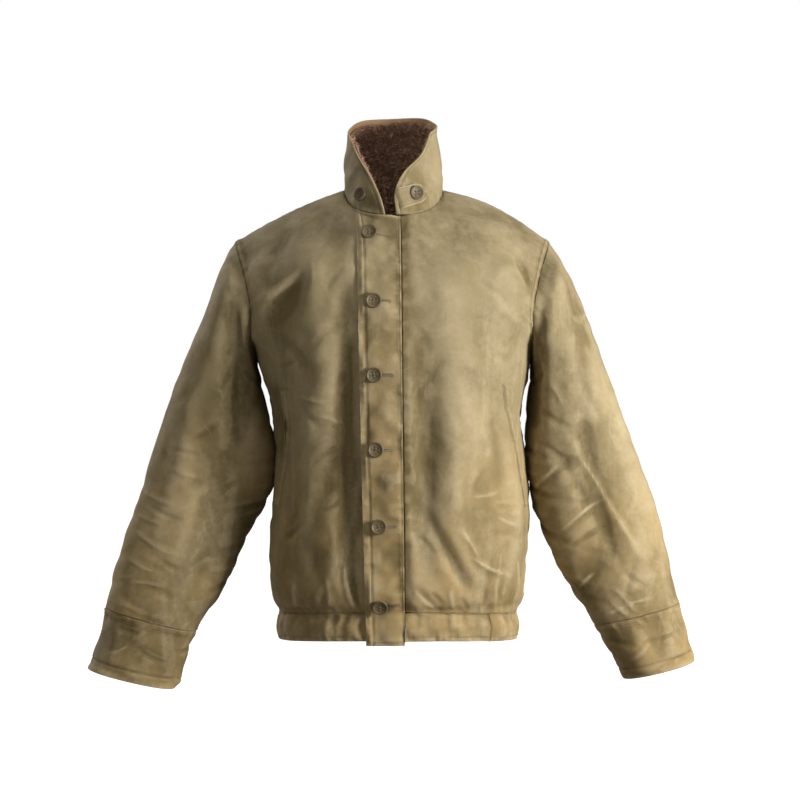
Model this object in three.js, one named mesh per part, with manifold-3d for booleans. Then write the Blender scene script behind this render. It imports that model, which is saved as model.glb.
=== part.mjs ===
// Deck jacket: a hollow, filled-out cotton jacket with a pile-lined stand collar, a buttoned placket, slanted
// pocket welts, a hem band and turned cuffs. Millimetres, +Z up, the front faces -Y and the wearer's left is +X.
// The origin is the middle of the neck opening, level with the points where the shoulder seams meet the collar.
// Each cloth piece is a wall between two grids of points: the outside, and the same points moved in along the
// cloth's normals. Neighbours share the points and the normals of their seam, so their edges meet face to face.

import * as THREE from "three";
import Module from "manifold-3d";

// Cloth and seams
const CLOTH = 2.4; // shell cloth with its interlining
const PILE = 5; // pile lining of the collar
const SEAM_GAP = 0.4; // between two pieces at a seam
const LAP_GAP = 0.6; // between a panel and what lies on it
const WELT_CLOTH = 1.6; // pocket welts and throat tab

// Body, measured up the cloth from the hem seam
const HEM_AT = -40;
const ARMPIT_AT = 350;
const TOP_AT = 520;
const SQUARENESS = 2.35; // 2 is an ellipse, more is squarer
const NECK_SHARE = 0.42; // share of half a panel's columns that end on the neckline
const ACROSS = 260; // cloth from the centre line to the side seam, about

// Neckline and shoulders
const NECK = { middleX: 2, half: 68, front: 87, back: 62, frontZ: -40, sideZ: 3, backZ: 18, rise: 1.3 };
const SHOULDER = { tipX: 220, tipY: 2, tipZ: -71, liftLeft: 12, liftRight: 6 };

// Placket, from its free edge over the right front to its seam on the left front
const PLACKET = { freeTop: -48, freeHem: -34, seamTop: 12, seamHem: 18, topAt: 514, hemAt: -46, step: 2, roll: 45 };
const UNDERLAP = 9; // how far short of the placket's seam the right front ends

// Buttons: a flat disc with a raised rim, four holes and a thread shank
const BUTTON = { radius: 10.4, thick: 2.6, rim: 2.4, rimHeight: 1.2, shank: 2.4, stand: 1.4, sides: 18 };
const HOLES = { across: 3.4, radius: 0.9, sides: 6 };
const COLLAR_BUTTON_SIZE = 0.92;
// Middles of the placket's buttons as seen from the front, from the neck to the hem
const PLACKET_BUTTONS = [
  { x: -29.7, z: -67 },
  { x: -24.1, z: -160 },
  { x: -23.1, z: -258 },
  { x: -20.9, z: -357 },
  { x: -17, z: -459 },
  { x: -15.3, z: -564 },
];
const COLLAR_BUTTONS = [
  { name: "button_collar_right", x: -41.6, z: -10.5, onTab: false },
  { name: "button_collar_left", x: 31.9, z: -10, onTab: true },
];

// Throat tab on the left leaf, seen from the front: from the leaf's edge to its rounded end
const TAB = { startX: 7, startZ: -19, endX: 45, endZ: -6, startHalf: 14.5, endHalf: 13.5, roundFrom: 0.66 };

// Pocket welts, seen from the front: top and bottom of the edge towards the placket
const WELT_WIDTH = 23;
const WELTS = {
  left: { topX: 148, topZ: -270, bottomX: 182, bottomZ: -437 },
  right: { topX: -140, topZ: -276, bottomX: -153, bottomZ: -438 },
};

// Rings of the body from the hem edge up to the armpits. The z columns are the ring's height at the centre front,
// the side seams and the centre back, half and shift its half width and sideways place, front and back its depths.
const BODY_RINGS = [
  { at: HEM_AT, frontZ: -613, sideZ: -622, backZ: -624, half: 166, shift: 8, front: 126, back: 101 },
  { at: -20, frontZ: -594, sideZ: -603, backZ: -605, half: 169, shift: 8, front: 129, back: 104 },
  { at: 0, frontZ: -575, sideZ: -584, backZ: -586, half: 165, shift: 8, front: 126, back: 101 },
  { at: 16, frontZ: -561, sideZ: -569, backZ: -571, half: 172, shift: 9, front: 134, back: 108 },
  { at: 40, frontZ: -537, sideZ: -545, backZ: -547, half: 176, shift: 8.5, front: 139, back: 112 },
  { at: 90, frontZ: -488, sideZ: -495, backZ: -497, half: 178, shift: 9.5, front: 141, back: 108 },
  { at: 150, frontZ: -428, sideZ: -434, backZ: -436, half: 177, shift: 12, front: 141, back: 102 },
  { at: 215, frontZ: -363, sideZ: -368, backZ: -370, half: 173.5, shift: 11.5, front: 141, back: 104 },
  { at: 275, frontZ: -303, sideZ: -306, backZ: -310, half: 174, shift: 7, front: 142, back: 111 },
  { at: ARMPIT_AT, frontZ: -228, sideZ: -232, backZ: -238, half: 191, shift: 3, front: 142, back: 119 },
];

// Sections of the shoulders above the armpits, from the centre line out to the armhole. turn is how many degrees
// of the ring the section covers before the armhole cuts it off.
const YOKE_ROWS = {
  front: [
    { at: 385, centreY: -139, centreZ: -186, edgeX: 193, edgeY: -50, edgeZ: -208, turn: 78 },
    { at: 425, centreY: -131, centreZ: -141, edgeX: 192, edgeY: -80, edgeZ: -168, turn: 60 },
    { at: 470, centreY: -114, centreZ: -92, edgeX: 203, edgeY: -60, edgeZ: -118, turn: 54 },
  ],
  back: [
    { at: 385, centreY: 122, centreZ: -194, edgeX: 194, edgeY: 54, edgeZ: -210, turn: 78 },
    { at: 425, centreY: 119, centreZ: -134, edgeX: 199, edgeY: 82, edgeZ: -168, turn: 62 },
    { at: 470, centreY: 100, centreZ: -58, edgeX: 208, edgeY: 62, edgeZ: -116, turn: 58 },
  ],
};

// Sleeve sections: where each crosses the frontal plane on the inner and outer side, its middle and half depth
// fore and aft. The first section is the armhole itself. run is the distance down the sleeve.
const CUFF_RUN = 440;
const SLEEVE_END = 518;
const SLEEVE_ROWS = {
  left: [
    { run: 26, innerX: 193, innerZ: -243, outerX: 236, outerZ: -95, midY: 1, depth: 86 },
    { run: 70, innerX: 193, innerZ: -256, outerX: 259, outerZ: -146, midY: 3, depth: 82 },
    { run: 112, innerX: 191, innerZ: -274, outerX: 282, outerZ: -202, midY: 5, depth: 78 },
    { run: 165, innerX: 189, innerZ: -312, outerX: 306, outerZ: -264, midY: 6, depth: 72 },
    { run: 220, innerX: 190, innerZ: -362, outerX: 328, outerZ: -326, midY: 5, depth: 66 },
    { run: 275, innerX: 194, innerZ: -412, outerX: 348, outerZ: -386, midY: 1, depth: 59 },
    { run: 325, innerX: 207, innerZ: -460, outerX: 364, outerZ: -434, midY: -5, depth: 54 },
    { run: 375, innerX: 230, innerZ: -516, outerX: 380, outerZ: -487, midY: -12, depth: 50 },
    { run: 412, innerX: 253, innerZ: -562, outerX: 391, outerZ: -532, midY: -18, depth: 47 },
    { run: CUFF_RUN, innerX: 281, innerZ: -602, outerX: 398, outerZ: -571, midY: -22, depth: 43 },
    { run: 478, innerX: 300, innerZ: -640, outerX: 408, outerZ: -611, midY: -26, depth: 42 },
    { run: SLEEVE_END, innerX: 320, innerZ: -676, outerX: 418, outerZ: -651, midY: -30, depth: 38 },
  ],
  right: [
    { run: 26, innerX: 190, innerZ: -243, outerX: 233, outerZ: -97, midY: 1, depth: 86 },
    { run: 70, innerX: 186, innerZ: -256, outerX: 256, outerZ: -152, midY: 3, depth: 82 },
    { run: 112, innerX: 181, innerZ: -276, outerX: 279, outerZ: -206, midY: 5, depth: 78 },
    { run: 165, innerX: 172, innerZ: -316, outerX: 303, outerZ: -268, midY: 6, depth: 72 },
    { run: 220, innerX: 168, innerZ: -366, outerX: 322, outerZ: -330, midY: 5, depth: 66 },
    { run: 275, innerX: 175, innerZ: -418, outerX: 343, outerZ: -388, midY: 1, depth: 60 },
    { run: 325, innerX: 193, innerZ: -466, outerX: 359, outerZ: -438, midY: -5, depth: 55 },
    { run: 375, innerX: 219, innerZ: -520, outerX: 375, outerZ: -492, midY: -12, depth: 50 },
    { run: 412, innerX: 242, innerZ: -562, outerX: 387, outerZ: -536, midY: -18, depth: 48 },
    { run: CUFF_RUN, innerX: 272, innerZ: -611, outerX: 397, outerZ: -578, midY: -22, depth: 45 },
    { run: 478, innerX: 286, innerZ: -650, outerX: 409, outerZ: -620, midY: -26, depth: 44 },
    { run: SLEEVE_END, innerX: 301, innerZ: -690, outerX: 421, outerZ: -661, midY: -30, depth: 40 },
  ],
};
const SLEEVE_SQUARENESS = 2.2;

// Collar: its top edge from the right leaf's corner round the back to the left leaf's corner, and the two free
// front edges from the neckline up to the corners. round is the angle about the neck from the centre back.
const COLLAR_TOP = [
  { round: -172, x: -57, y: -38, z: 64 },
  { round: -130, x: -61, y: -12, z: 78 },
  { round: -90, x: -60, y: 18, z: 92 },
  { round: -45, x: -43, y: 55, z: 108 },
  { round: 0, x: 0, y: 70, z: 113 },
  { round: 45, x: 43, y: 58, z: 112 },
  { round: 90, x: 61, y: 20, z: 99 },
  { round: 130, x: 62, y: -10, z: 89 },
  { round: 172, x: 55, y: -36, z: 79 },
];
const COLLAR_EDGES = {
  right: [
    { up: 0, x: -9, y: -87, z: -38 },
    { up: 0.25, x: -16, y: -84, z: -14 },
    { up: 0.5, x: -29, y: -74, z: 13 },
    { up: 0.75, x: -45, y: -58, z: 40 },
    { up: 1, x: -57, y: -38, z: 64 },
  ],
  left: [
    { up: 0, x: 6, y: -87, z: -38 },
    { up: 0.25, x: 4, y: -88, z: -8 },
    { up: 0.5, x: 17, y: -80, z: 20 },
    { up: 0.75, x: 41, y: -60, z: 46 },
    { up: 1, x: 55, y: -36, z: 79 },
  ],
};
const COLLAR_BOW = 3; // outward fullness of the leaves between neckline and top edge
const EDGE_REACH = 60; // degrees of the leaf over which its free edge's curve fades out
const FACING = 0.12; // share of the collar's height at its top that has no pile

// Folds as seen from the front, or through the jacket from the front for those of the back: soft troughs, or
// ridges where deep is negative, each from one point to another.
const FOLDS = {
  front: [
    { x0: -58, z0: -150, x1: -52, z1: -530, wide: 13, deep: 3 },
    { x0: -94, z0: -80, x1: -98, z1: -318, wide: 22, deep: -4 },
    { x0: -144, z0: -60, x1: -182, z1: -150, wide: 12, deep: 3.5 },
    { x0: -117, z0: -115, x1: -168, z1: -183, wide: 12, deep: 4 },
    { x0: -75, z0: -278, x1: -89, z1: -424, wide: 12, deep: 2.5 },
    { x0: -112, z0: -291, x1: -117, z1: -451, wide: 12, deep: -2.5 },
    { x0: -143, z0: -320, x1: -137, z1: -505, wide: 11, deep: 2.2 },
    { x0: -62, z0: -505, x1: -50, z1: -568, wide: 7, deep: 2.4 },
    { x0: -82, z0: -537, x1: -98, z1: -568, wide: 7, deep: 2 },
    { x0: -124, z0: -528, x1: -114, z1: -572, wide: 7, deep: 2 },
    { x0: 51, z0: -264, x1: 48, z1: -451, wide: 13, deep: 4 },
    { x0: 46, z0: -446, x1: 97, z1: -537, wide: 10, deep: 5.5 },
    { x0: 30, z0: -545, x1: 60, z1: -570, wide: 7, deep: 3.5 },
    { x0: 84, z0: -291, x1: 78, z1: -477, wide: 16, deep: -3 },
    { x0: 146, z0: -169, x1: 180, z1: -196, wide: 7, deep: -2.4 },
    { x0: 178, z0: -92, x1: 184, z1: -142, wide: 10, deep: 3.5 },
    { x0: 139, z0: -470, x1: 176, z1: -480, wide: 7, deep: 2 },
    { x0: 118, z0: -530, x1: 128, z1: -572, wide: 7, deep: 2 },
  ],
  back: [
    { x0: -158, z0: -150, x1: -95, z1: -262, wide: 14, deep: 4 },
    { x0: 156, z0: -168, x1: 88, z1: -292, wide: 13, deep: 4 },
    { x0: -62, z0: -330, x1: -52, z1: -505, wide: 15, deep: 3.5 },
    { x0: 42, z0: -305, x1: 58, z1: -482, wide: 14, deep: 3 },
    { x0: 116, z0: -380, x1: 106, z1: -540, wide: 12, deep: 3 },
    { x0: -122, z0: -405, x1: -110, z1: -548, wide: 12, deep: 3 },
    { x0: -82, z0: -395, x1: 24, z1: -412, wide: 11, deep: 3 },
    { x0: -8, z0: -20, x1: -2, z1: -120, wide: 18, deep: -2 },
    { x0: -84, z0: -545, x1: -78, z1: -578, wide: 7, deep: 2 },
    { x0: -24, z0: -540, x1: -30, z1: -580, wide: 8, deep: 2.2 },
    { x0: 30, z0: -548, x1: 34, z1: -578, wide: 7, deep: 2 },
    { x0: 84, z0: -542, x1: 80, z1: -579, wide: 7, deep: 2 },
  ],
};
const SLEEVE_FOLDS = {
  left: {
    front: [
      { x0: 258, z0: -150, x1: 262, z1: -420, wide: 14, deep: 4 },
      { x0: 242, z0: -346, x1: 336, z1: -505, wide: 8, deep: -3 },
      { x0: 228, z0: -368, x1: 322, z1: -528, wide: 8, deep: 3 },
      { x0: 203, z0: -415, x1: 236, z1: -376, wide: 7, deep: 2.5 },
      { x0: 228, z0: -475, x1: 290, z1: -424, wide: 7, deep: 3 },
      { x0: 258, z0: -549, x1: 284, z1: -520, wide: 7, deep: 3 },
      { x0: 306, z0: -572, x1: 358, z1: -538, wide: 6, deep: 2.5 },
      { x0: 332, z0: -511, x1: 316, z1: -562, wide: 6, deep: 2.4 },
      { x0: 340, z0: -600, x1: 362, z1: -640, wide: 6, deep: 1.2 },
    ],
    back: [
      { x0: 246, z0: -205, x1: 272, z1: -356, wide: 14, deep: 3.5 },
      { x0: 214, z0: -392, x1: 318, z1: -372, wide: 9, deep: 3.5 },
      { x0: 226, z0: -440, x1: 336, z1: -405, wide: 9, deep: 3.5 },
      { x0: 250, z0: -500, x1: 342, z1: -452, wide: 8, deep: 3 },
      { x0: 298, z0: -566, x1: 372, z1: -530, wide: 7, deep: 2.5 },
    ],
  },
  right: {
    front: [
      { x0: -226, z0: -110, x1: -220, z1: -372, wide: 14, deep: 4 },
      { x0: -201, z0: -160, x1: -196, z1: -275, wide: 10, deep: -2.5 },
      { x0: -330, z0: -428, x1: -270, z1: -405, wide: 7, deep: 2 },
      { x0: -344, z0: -470, x1: -280, z1: -447, wide: 7, deep: 2.2 },
      { x0: -350, z0: -496, x1: -300, z1: -482, wide: 7, deep: 2 },
      { x0: -333, z0: -545, x1: -292, z1: -566, wide: 7, deep: 2.5 },
      { x0: -370, z0: -560, x1: -340, z1: -578, wide: 6, deep: 1.8 },
      { x0: -346, z0: -630, x1: -302, z1: -652, wide: 5, deep: 1.5 },
    ],
    back: [
      { x0: -240, z0: -200, x1: -262, z1: -350, wide: 14, deep: 3.5 },
      { x0: -196, z0: -400, x1: -306, z1: -374, wide: 9, deep: 3.5 },
      { x0: -214, z0: -446, x1: -326, z1: -420, wide: 9, deep: 3.2 },
      { x0: -246, z0: -512, x1: -340, z1: -470, wide: 8, deep: 3 },
      { x0: -290, z0: -574, x1: -366, z1: -540, wide: 7, deep: 2.4 },
    ],
  },
};

// Grid steps
const BAND_ATS = [HEM_AT, -30, -10, 0];
const BODY_ATS = [0, 10, 24, 48, 85, 125, 165, 205, 245, 275, 300, 325];
const YOKE_STEPS = 13;
const NECK_STEPS = 5;
const SHOULDER_STEPS = 7;
const SLEEVE_RUNS = [0, 14, 32, 54, 80, 108, 138, 170, 202, 234, 266, 298, 328, 358, 386, 414, CUFF_RUN];
const CUFF_RUNS = [CUFF_RUN, 454, 480, 506, SLEEVE_END];
const COLLAR_UPS = [0, 0.2, 0.4, 0.6, 0.8, 1 - FACING, 1];

const MATERIALS = {
  cloth: new THREE.MeshStandardMaterial({ color: 0x8d7f57, roughness: 0.78, metalness: 0 }),
  pile: new THREE.MeshStandardMaterial({ color: 0x3a2419, roughness: 0.95, metalness: 0 }),
  button: new THREE.MeshStandardMaterial({ color: 0x54493a, roughness: 0.45, metalness: 0 }),
};

const { degToRad, lerp, smoothstep, clamp } = THREE.MathUtils;
const point = (x, y, z) => new THREE.Vector3(x, y, z);

// A smooth curve through knots: rows have a place at and a value, and slopes come from each knot's neighbours.
function through(knots, at, valueOf, mixer) {
  let k = 0;
  while (k < knots.length - 2 && at > knots[k + 1].at) k++;
  const [a, b] = [knots[k], knots[k + 1]];
  const before = knots[Math.max(k - 1, 0)];
  const after = knots[Math.min(k + 2, knots.length - 1)];
  const span = b.at - a.at;
  const t = (at - a.at) / span;
  const slopeA = span / (b.at - before.at);
  const slopeB = span / (after.at - a.at);
  const h = [2 * t ** 3 - 3 * t ** 2 + 1, t ** 3 - 2 * t ** 2 + t, 3 * t ** 2 - 2 * t ** 3, t ** 3 - t ** 2];
  const [vBefore, vA, vB, vAfter] = [before, a, b, after].map(valueOf);
  return mixer(vBefore, -h[1] * slopeA, vA, h[0] - h[3] * slopeB, vB, h[2] + h[1] * slopeA, vAfter, h[3] * slopeB);
}

function mixPoints(...pairs) {
  const sum = point(0, 0, 0);
  for (let i = 0; i < pairs.length; i += 2) sum.addScaledVector(pairs[i], pairs[i + 1]);
  return sum;
}

const curvePoint = (knots, at) => through(knots, at, (k) => k.value, mixPoints);

// A point of a squared ellipse of half size 1, as [sine part, cosine part].
function squared(angle, power) {
  const [s, c] = [Math.sin(angle), Math.cos(angle)];
  const r = (Math.abs(s) ** power + Math.abs(c) ** power) ** (-1 / power);
  return [r * s, r * c];
}

// Neckline: round is the angle about the neck from the centre back, positive towards the wearer's left.
function necklinePoint(round) {
  const angle = degToRad(round);
  const cosine = Math.cos(angle);
  const depth = cosine > 0 ? NECK.back : NECK.front;
  const endZ = cosine > 0 ? NECK.backZ : NECK.frontZ;
  const z = lerp(endZ, NECK.sideZ, (1 - Math.abs(cosine)) ** NECK.rise);
  return point(NECK.middleX + NECK.half * Math.sin(angle), depth * cosine, z);
}

// The top seam of half a panel: along the neckline, then along the shoulder seam to its tip.
function topSeamPoint(u, face) {
  const [side, share] = [Math.sign(u) || 1, Math.abs(u)];
  if (share <= NECK_SHARE) {
    const quarter = (90 * share) / NECK_SHARE;
    return necklinePoint(side * (face === "front" ? 180 - quarter : quarter));
  }
  const t = (share - NECK_SHARE) / (1 - NECK_SHARE);
  const lift = (side > 0 ? SHOULDER.liftLeft : SHOULDER.liftRight) * Math.sin(Math.PI * t);
  const fromX = NECK.middleX + side * NECK.half;
  return point(lerp(fromX, side * SHOULDER.tipX, t), SHOULDER.tipY * t, lerp(NECK.sideZ, SHOULDER.tipZ, t) + lift);
}

function ringPoint(ring, u, face) {
  const [s, c] = squared(degToRad(90 * u), SQUARENESS);
  const [depth, endZ] = face === "front" ? [-ring.front, ring.frontZ] : [ring.back, ring.backZ];
  return point(ring.shift + ring.half * s, depth * c, lerp(ring.sideZ, endZ, c * c));
}

function yokePoint(row, u) {
  const [s, c] = squared(degToRad(row.turn * u), SQUARENESS);
  const [sEdge, cEdge] = squared(degToRad(row.turn), SQUARENESS);
  const out = (1 - c) / (1 - cEdge);
  return point((row.edgeX * s) / sEdge, lerp(row.centreY, row.edgeY, out), lerp(row.centreZ, row.edgeZ, u * u));
}

// The body's plain form without folds, as knots up the cloth for one column of it.
function bodyKnots(u, at, face) {
  const other = face === "front" ? "back" : "front";
  const knots = BODY_RINGS.map((ring) => ({ at: ring.at, value: ringPoint(ring, u, face) }));
  const yoke = YOKE_ROWS[face];
  yoke.forEach((row) => knots.push({ at: row.at, value: yokePoint(row, u) }));
  // Below the armpit the side seam belongs to front and back alike.
  if (at < ARMPIT_AT) {
    const above = knots[BODY_RINGS.length];
    above.value.lerp(yokePoint(YOKE_ROWS[other][0], u), 0.5 * Math.abs(u) ** 6);
  }
  const top = topSeamPoint(u, face);
  knots.push({ at: TOP_AT, value: top });
  // Past the shoulder seam the cloth runs on down the other side; past the neckline it runs on as it came.
  const last = yoke[yoke.length - 1];
  const onward = top.clone().multiplyScalar(2).sub(yokePoint(last, u));
  const overShoulder = smoothstep(Math.abs(u), 0.12, NECK_SHARE + 0.1);
  const farSide = yokePoint(YOKE_ROWS[other][YOKE_ROWS[other].length - 1], u);
  knots.push({ at: 2 * TOP_AT - last.at, value: onward.lerp(farSide, overShoulder) });
  return knots;
}

const plainBody = (u, at, face) => curvePoint(bodyKnots(u, at, face), at);

function plainNormal(u, at, face) {
  const [du, dAt] = [0.004, 1];
  const across = plainBody(u + du, at, face).sub(plainBody(u - du, at, face));
  const up = plainBody(u, at + dAt, face).sub(plainBody(u, at - dAt, face));
  return across.cross(up).normalize().multiplyScalar(face === "front" ? 1 : -1);
}

// How far folds move the cloth out at a point, in millimetres.
function foldHeight(folds, at) {
  let height = 0;
  for (const f of folds) {
    const [dx, dz] = [f.x1 - f.x0, f.z1 - f.z0];
    const along = clamp(((at.x - f.x0) * dx + (at.z - f.z0) * dz) / (dx * dx + dz * dz), 0, 1);
    const off = Math.hypot(at.x - f.x0 - along * dx, at.z - f.z0 - along * dz);
    const taper = 0.55 + 0.45 * Math.sin(Math.PI * along);
    height -= f.deep * taper * Math.exp(-((off / f.wide) ** 2));
  }
  return height;
}

// A fold belongs to the side of the cloth that faces its way, and fades where the cloth turns away.
function folded(plain, normal, folds, fade) {
  const facing = smoothstep(Math.abs(normal.y), 0.05, 0.4);
  const side = normal.y < 0 ? "front" : "back";
  return plain.clone().addScaledVector(normal, foldHeight(folds[side], plain) * facing * fade);
}

function bodyPoint(u, at, face) {
  const sideFade = smoothstep(1 - Math.abs(u), 0, 0.12);
  const topFade = smoothstep(TOP_AT - at, 0, 35);
  return folded(plainBody(u, at, face), plainNormal(u, at, face), FOLDS, sideFade * topFade);
}

// The column of the front at which a row of it crosses a given x.
function columnAt(x, at) {
  let [low, high] = [-0.98, 0.98];
  for (let i = 0; i < 40; i++) {
    const middle = (low + high) / 2;
    if (plainBody(middle, at, "front").x < x) low = middle;
    else high = middle;
  }
  return (low + high) / 2;
}

const placketShare = (at) => clamp((at - HEM_AT) / (TOP_AT - HEM_AT), 0, 1);
const placketSeamX = (at) => lerp(PLACKET.seamHem, PLACKET.seamTop, placketShare(at));
const placketFreeX = (at) => lerp(PLACKET.freeHem, PLACKET.freeTop, placketShare(at));

// The left front rises to the placket's level along their seam.
function leftFrontPoint(u, at) {
  const p = bodyPoint(u, at, "front");
  const out = PLACKET.step * (1 - smoothstep(p.x - placketSeamX(at), 0, PLACKET.roll));
  return p.addScaledVector(plainNormal(u, at, "front"), out * smoothstep(TOP_AT - at, 0, 60));
}

// The armhole from the armpit up the front edge to the shoulder tip and down the back, for share 0 to 1.
function armholePoint(side, share) {
  const face = share <= 0.5 ? "front" : "back";
  const rise = 1 - Math.abs(2 * share - 1);
  return bodyPoint(side, lerp(ARMPIT_AT, TOP_AT, rise), face);
}

const sideName = (side) => (side > 0 ? "left" : "right");

function sleeveRing(row, side, share) {
  const [s, c] = squared(2 * Math.PI * share, SLEEVE_SQUARENESS);
  const across = (1 - c) / 2;
  const x = side * lerp(row.innerX, row.outerX, across);
  return point(x, row.midY - row.depth * s, lerp(row.innerZ, row.outerZ, across));
}

function plainSleeve(side, share, run) {
  const knots = [{ at: 0, value: armholePoint(side, share) }];
  SLEEVE_ROWS[sideName(side)].forEach((row) => knots.push({ at: row.run, value: sleeveRing(row, side, share) }));
  return curvePoint(knots, run);
}

function sleevePoint(side, share, run) {
  const p = plainSleeve(side, share, run);
  const [dShare, dRun] = [0.004, 1];
  const round = plainSleeve(side, share + dShare, run).sub(plainSleeve(side, share - dShare, run));
  const down = plainSleeve(side, share, run + dRun).sub(plainSleeve(side, share, Math.max(run - dRun, 0)));
  const normal = round.cross(down).normalize().multiplyScalar(-side);
  return folded(p, normal, SLEEVE_FOLDS[sideName(side)], smoothstep(run, 0, 30));
}

// Collar surface: round about the neck from the centre back, up from the neckline to the top edge.
const collarTopKnots = COLLAR_TOP.map((row) => ({ at: row.round, value: point(row.x, row.y, row.z) }));

function collarPoint(round, up) {
  const side = round > 0 ? "left" : "right";
  const limit = (round > 0 ? 1 : -1) * COLLAR_TOP[COLLAR_TOP.length - 1].round;
  const edgeKnots = COLLAR_EDGES[side].map((row) => ({ at: row.up, value: point(row.x, row.y, row.z) }));
  const ruled = necklinePoint(round).lerp(curvePoint(collarTopKnots, round), up);
  const shiftAt = (h) => curvePoint(edgeKnots, h).sub(necklinePoint(limit).lerp(curvePoint(collarTopKnots, limit), h));
  const edgeShift = shiftAt(up).addScaledVector(shiftAt(0), up - 1);
  const nearEdge = smoothstep(Math.abs(round), Math.abs(limit) - EDGE_REACH, Math.abs(limit));
  const bow = COLLAR_BOW * Math.sin(Math.PI * up) * (1 - nearEdge);
  const outward = point(Math.sin(degToRad(round)), Math.cos(degToRad(round)), 0);
  return ruled.addScaledVector(edgeShift, nearEdge).addScaledVector(outward, bow);
}

// A grid of points, with rows of equal length. wrap joins each row's end to its start.
const gridOf = (rowKeys, columnKeys, pointAt, wrap = false) => ({
  points: rowKeys.map((r) => columnKeys(r).map((c) => pointAt(c, r))),
  wrap,
});

// Normals of a grid from its neighbours, turned to the side that outward points to.
function addNormals(grid, outwardSign) {
  const { points, wrap } = grid;
  const [nRows, nCols] = [points.length, points[0].length];
  grid.normals = points.map((row, r) =>
    row.map((p, c) => {
      const left = wrap ? (c + nCols - 1) % nCols : Math.max(c - 1, 0);
      const right = wrap ? (c + 1) % nCols : Math.min(c + 1, nCols - 1);
      const across = points[r][right].clone().sub(points[r][left]);
      const along = points[Math.min(r + 1, nRows - 1)][c].clone().sub(points[Math.max(r - 1, 0)][c]);
      return across.cross(along).normalize().multiplyScalar(outwardSign);
    }),
  );
  return grid;
}

const isEdge = (grid, r, c) => {
  const onRowEdge = r === 0 || r === grid.points.length - 1;
  const onColumnEdge = c === 0 || c === grid.points[0].length - 1;
  return onRowEdge || (!grid.wrap && onColumnEdge);
};

// Where several grids have the same edge point, they all get the mean of their normals there.
function shareSeamNormals(grids) {
  const sums = new Map();
  const keyOf = (p) => [p.x, p.y, p.z].map((v) => Math.round(v * 20)).join(",");
  const eachEdge = (visit) =>
    grids.forEach((g) =>
      g.points.forEach((row, r) => row.forEach((p, c) => isEdge(g, r, c) && visit(g, r, c, keyOf(p)))),
    );
  eachEdge((g, r, c, key) => {
    if (!sums.has(key)) sums.set(key, point(0, 0, 0));
    sums.get(key).add(g.normals[r][c]);
  });
  eachEdge((g, r, c, key) => (g.normals[r][c] = sums.get(key).clone().normalize()));
}

// A closed wall on a grid: its outside stands out from the points, and it is thick towards the inside. The edge
// draws back by half a seam's gap.
function wallGeometry(grid, out, thick) {
  const { points, normals, wrap } = grid;
  const [nRows, nCols] = [points.length, points[0].length];
  const positions = [];
  for (const distance of [out, out - thick]) {
    const skin = points.map((row, r) => row.map((p, c) => p.clone().addScaledVector(normals[r][c], distance)));
    skin.forEach((row, r) =>
      row.forEach((p, c) => {
        const q = p.clone();
        if (isEdge(grid, r, c)) {
          const r2 = r === 0 ? 1 : r === nRows - 1 ? r - 1 : r;
          const c2 = wrap ? c : c === 0 ? 1 : c === nCols - 1 ? c - 1 : c;
          const rowStep = skin[r2][c].clone().sub(p);
          const columnStep = skin[r][c2].clone().sub(p);
          for (const step of [rowStep, columnStep])
            if (step.length() > 0) q.addScaledVector(step.normalize(), SEAM_GAP / 2);
        }
        positions.push(q.x, q.y, q.z);
      }),
    );
  }
  const at = (skin, r, c) => skin * nRows * nCols + r * nCols + (wrap ? c % nCols : c);
  const index = [];
  const corner = (i) => point(...positions.slice(3 * i, 3 * i + 3));
  // Four corners in turn, cut along the shorter diagonal.
  const quad = (a, b, c, d) => {
    const cutAC = corner(a).distanceTo(corner(c)) <= corner(b).distanceTo(corner(d));
    if (cutAC) index.push(a, b, c, a, c, d);
    else index.push(a, b, d, b, c, d);
  };
  const lastColumn = wrap ? nCols : nCols - 1;
  for (let r = 0; r < nRows - 1; r++)
    for (let c = 0; c < lastColumn; c++) {
      quad(at(0, r, c), at(0, r, c + 1), at(0, r + 1, c + 1), at(0, r + 1, c));
      quad(at(1, r, c), at(1, r + 1, c), at(1, r + 1, c + 1), at(1, r, c + 1));
    }
  for (let c = 0; c < lastColumn; c++) {
    quad(at(0, 0, c + 1), at(0, 0, c), at(1, 0, c), at(1, 0, c + 1));
    quad(at(0, nRows - 1, c), at(0, nRows - 1, c + 1), at(1, nRows - 1, c + 1), at(1, nRows - 1, c));
  }
  if (!wrap)
    for (let r = 0; r < nRows - 1; r++) {
      quad(at(0, r, 0), at(0, r + 1, 0), at(1, r + 1, 0), at(1, r, 0));
      quad(at(0, r + 1, nCols - 1), at(0, r, nCols - 1), at(1, r, nCols - 1), at(1, r + 1, nCols - 1));
    }
  return facingOut(positions, index);
}

// Turns the faces round where they enclose a negative volume.
function facingOut(positions, index) {
  const corner = (i) => point(...positions.slice(3 * i, 3 * i + 3));
  let volume = 0;
  for (let i = 0; i < index.length; i += 3)
    volume += corner(index[i]).dot(corner(index[i + 1]).cross(corner(index[i + 2])));
  if (volume < 0) for (let i = 0; i < index.length; i += 3) [index[i], index[i + 1]] = [index[i + 1], index[i]];
  const geometry = new THREE.BufferGeometry();
  geometry.setAttribute("position", new THREE.Float32BufferAttribute(positions, 3));
  return geometry.setIndex(index);
}

const jacket = new THREE.Group();
jacket.name = "deck_jacket";

function addPiece(name, geometry, material) {
  const mesh = new THREE.Mesh(geometry, material);
  mesh.name = name;
  jacket.add(mesh);
  return mesh;
}

const steps = (from, to, count) => Array.from({ length: count + 1 }, (_, i) => lerp(from, to, i / count));
const joined = (...lists) => lists.flatMap((list, i) => (i ? list.slice(1) : list));

const yokeAts = steps(ARMPIT_AT, TOP_AT, YOKE_STEPS);
const panelAts = joined([...BODY_ATS, ARMPIT_AT], yokeAts);

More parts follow.
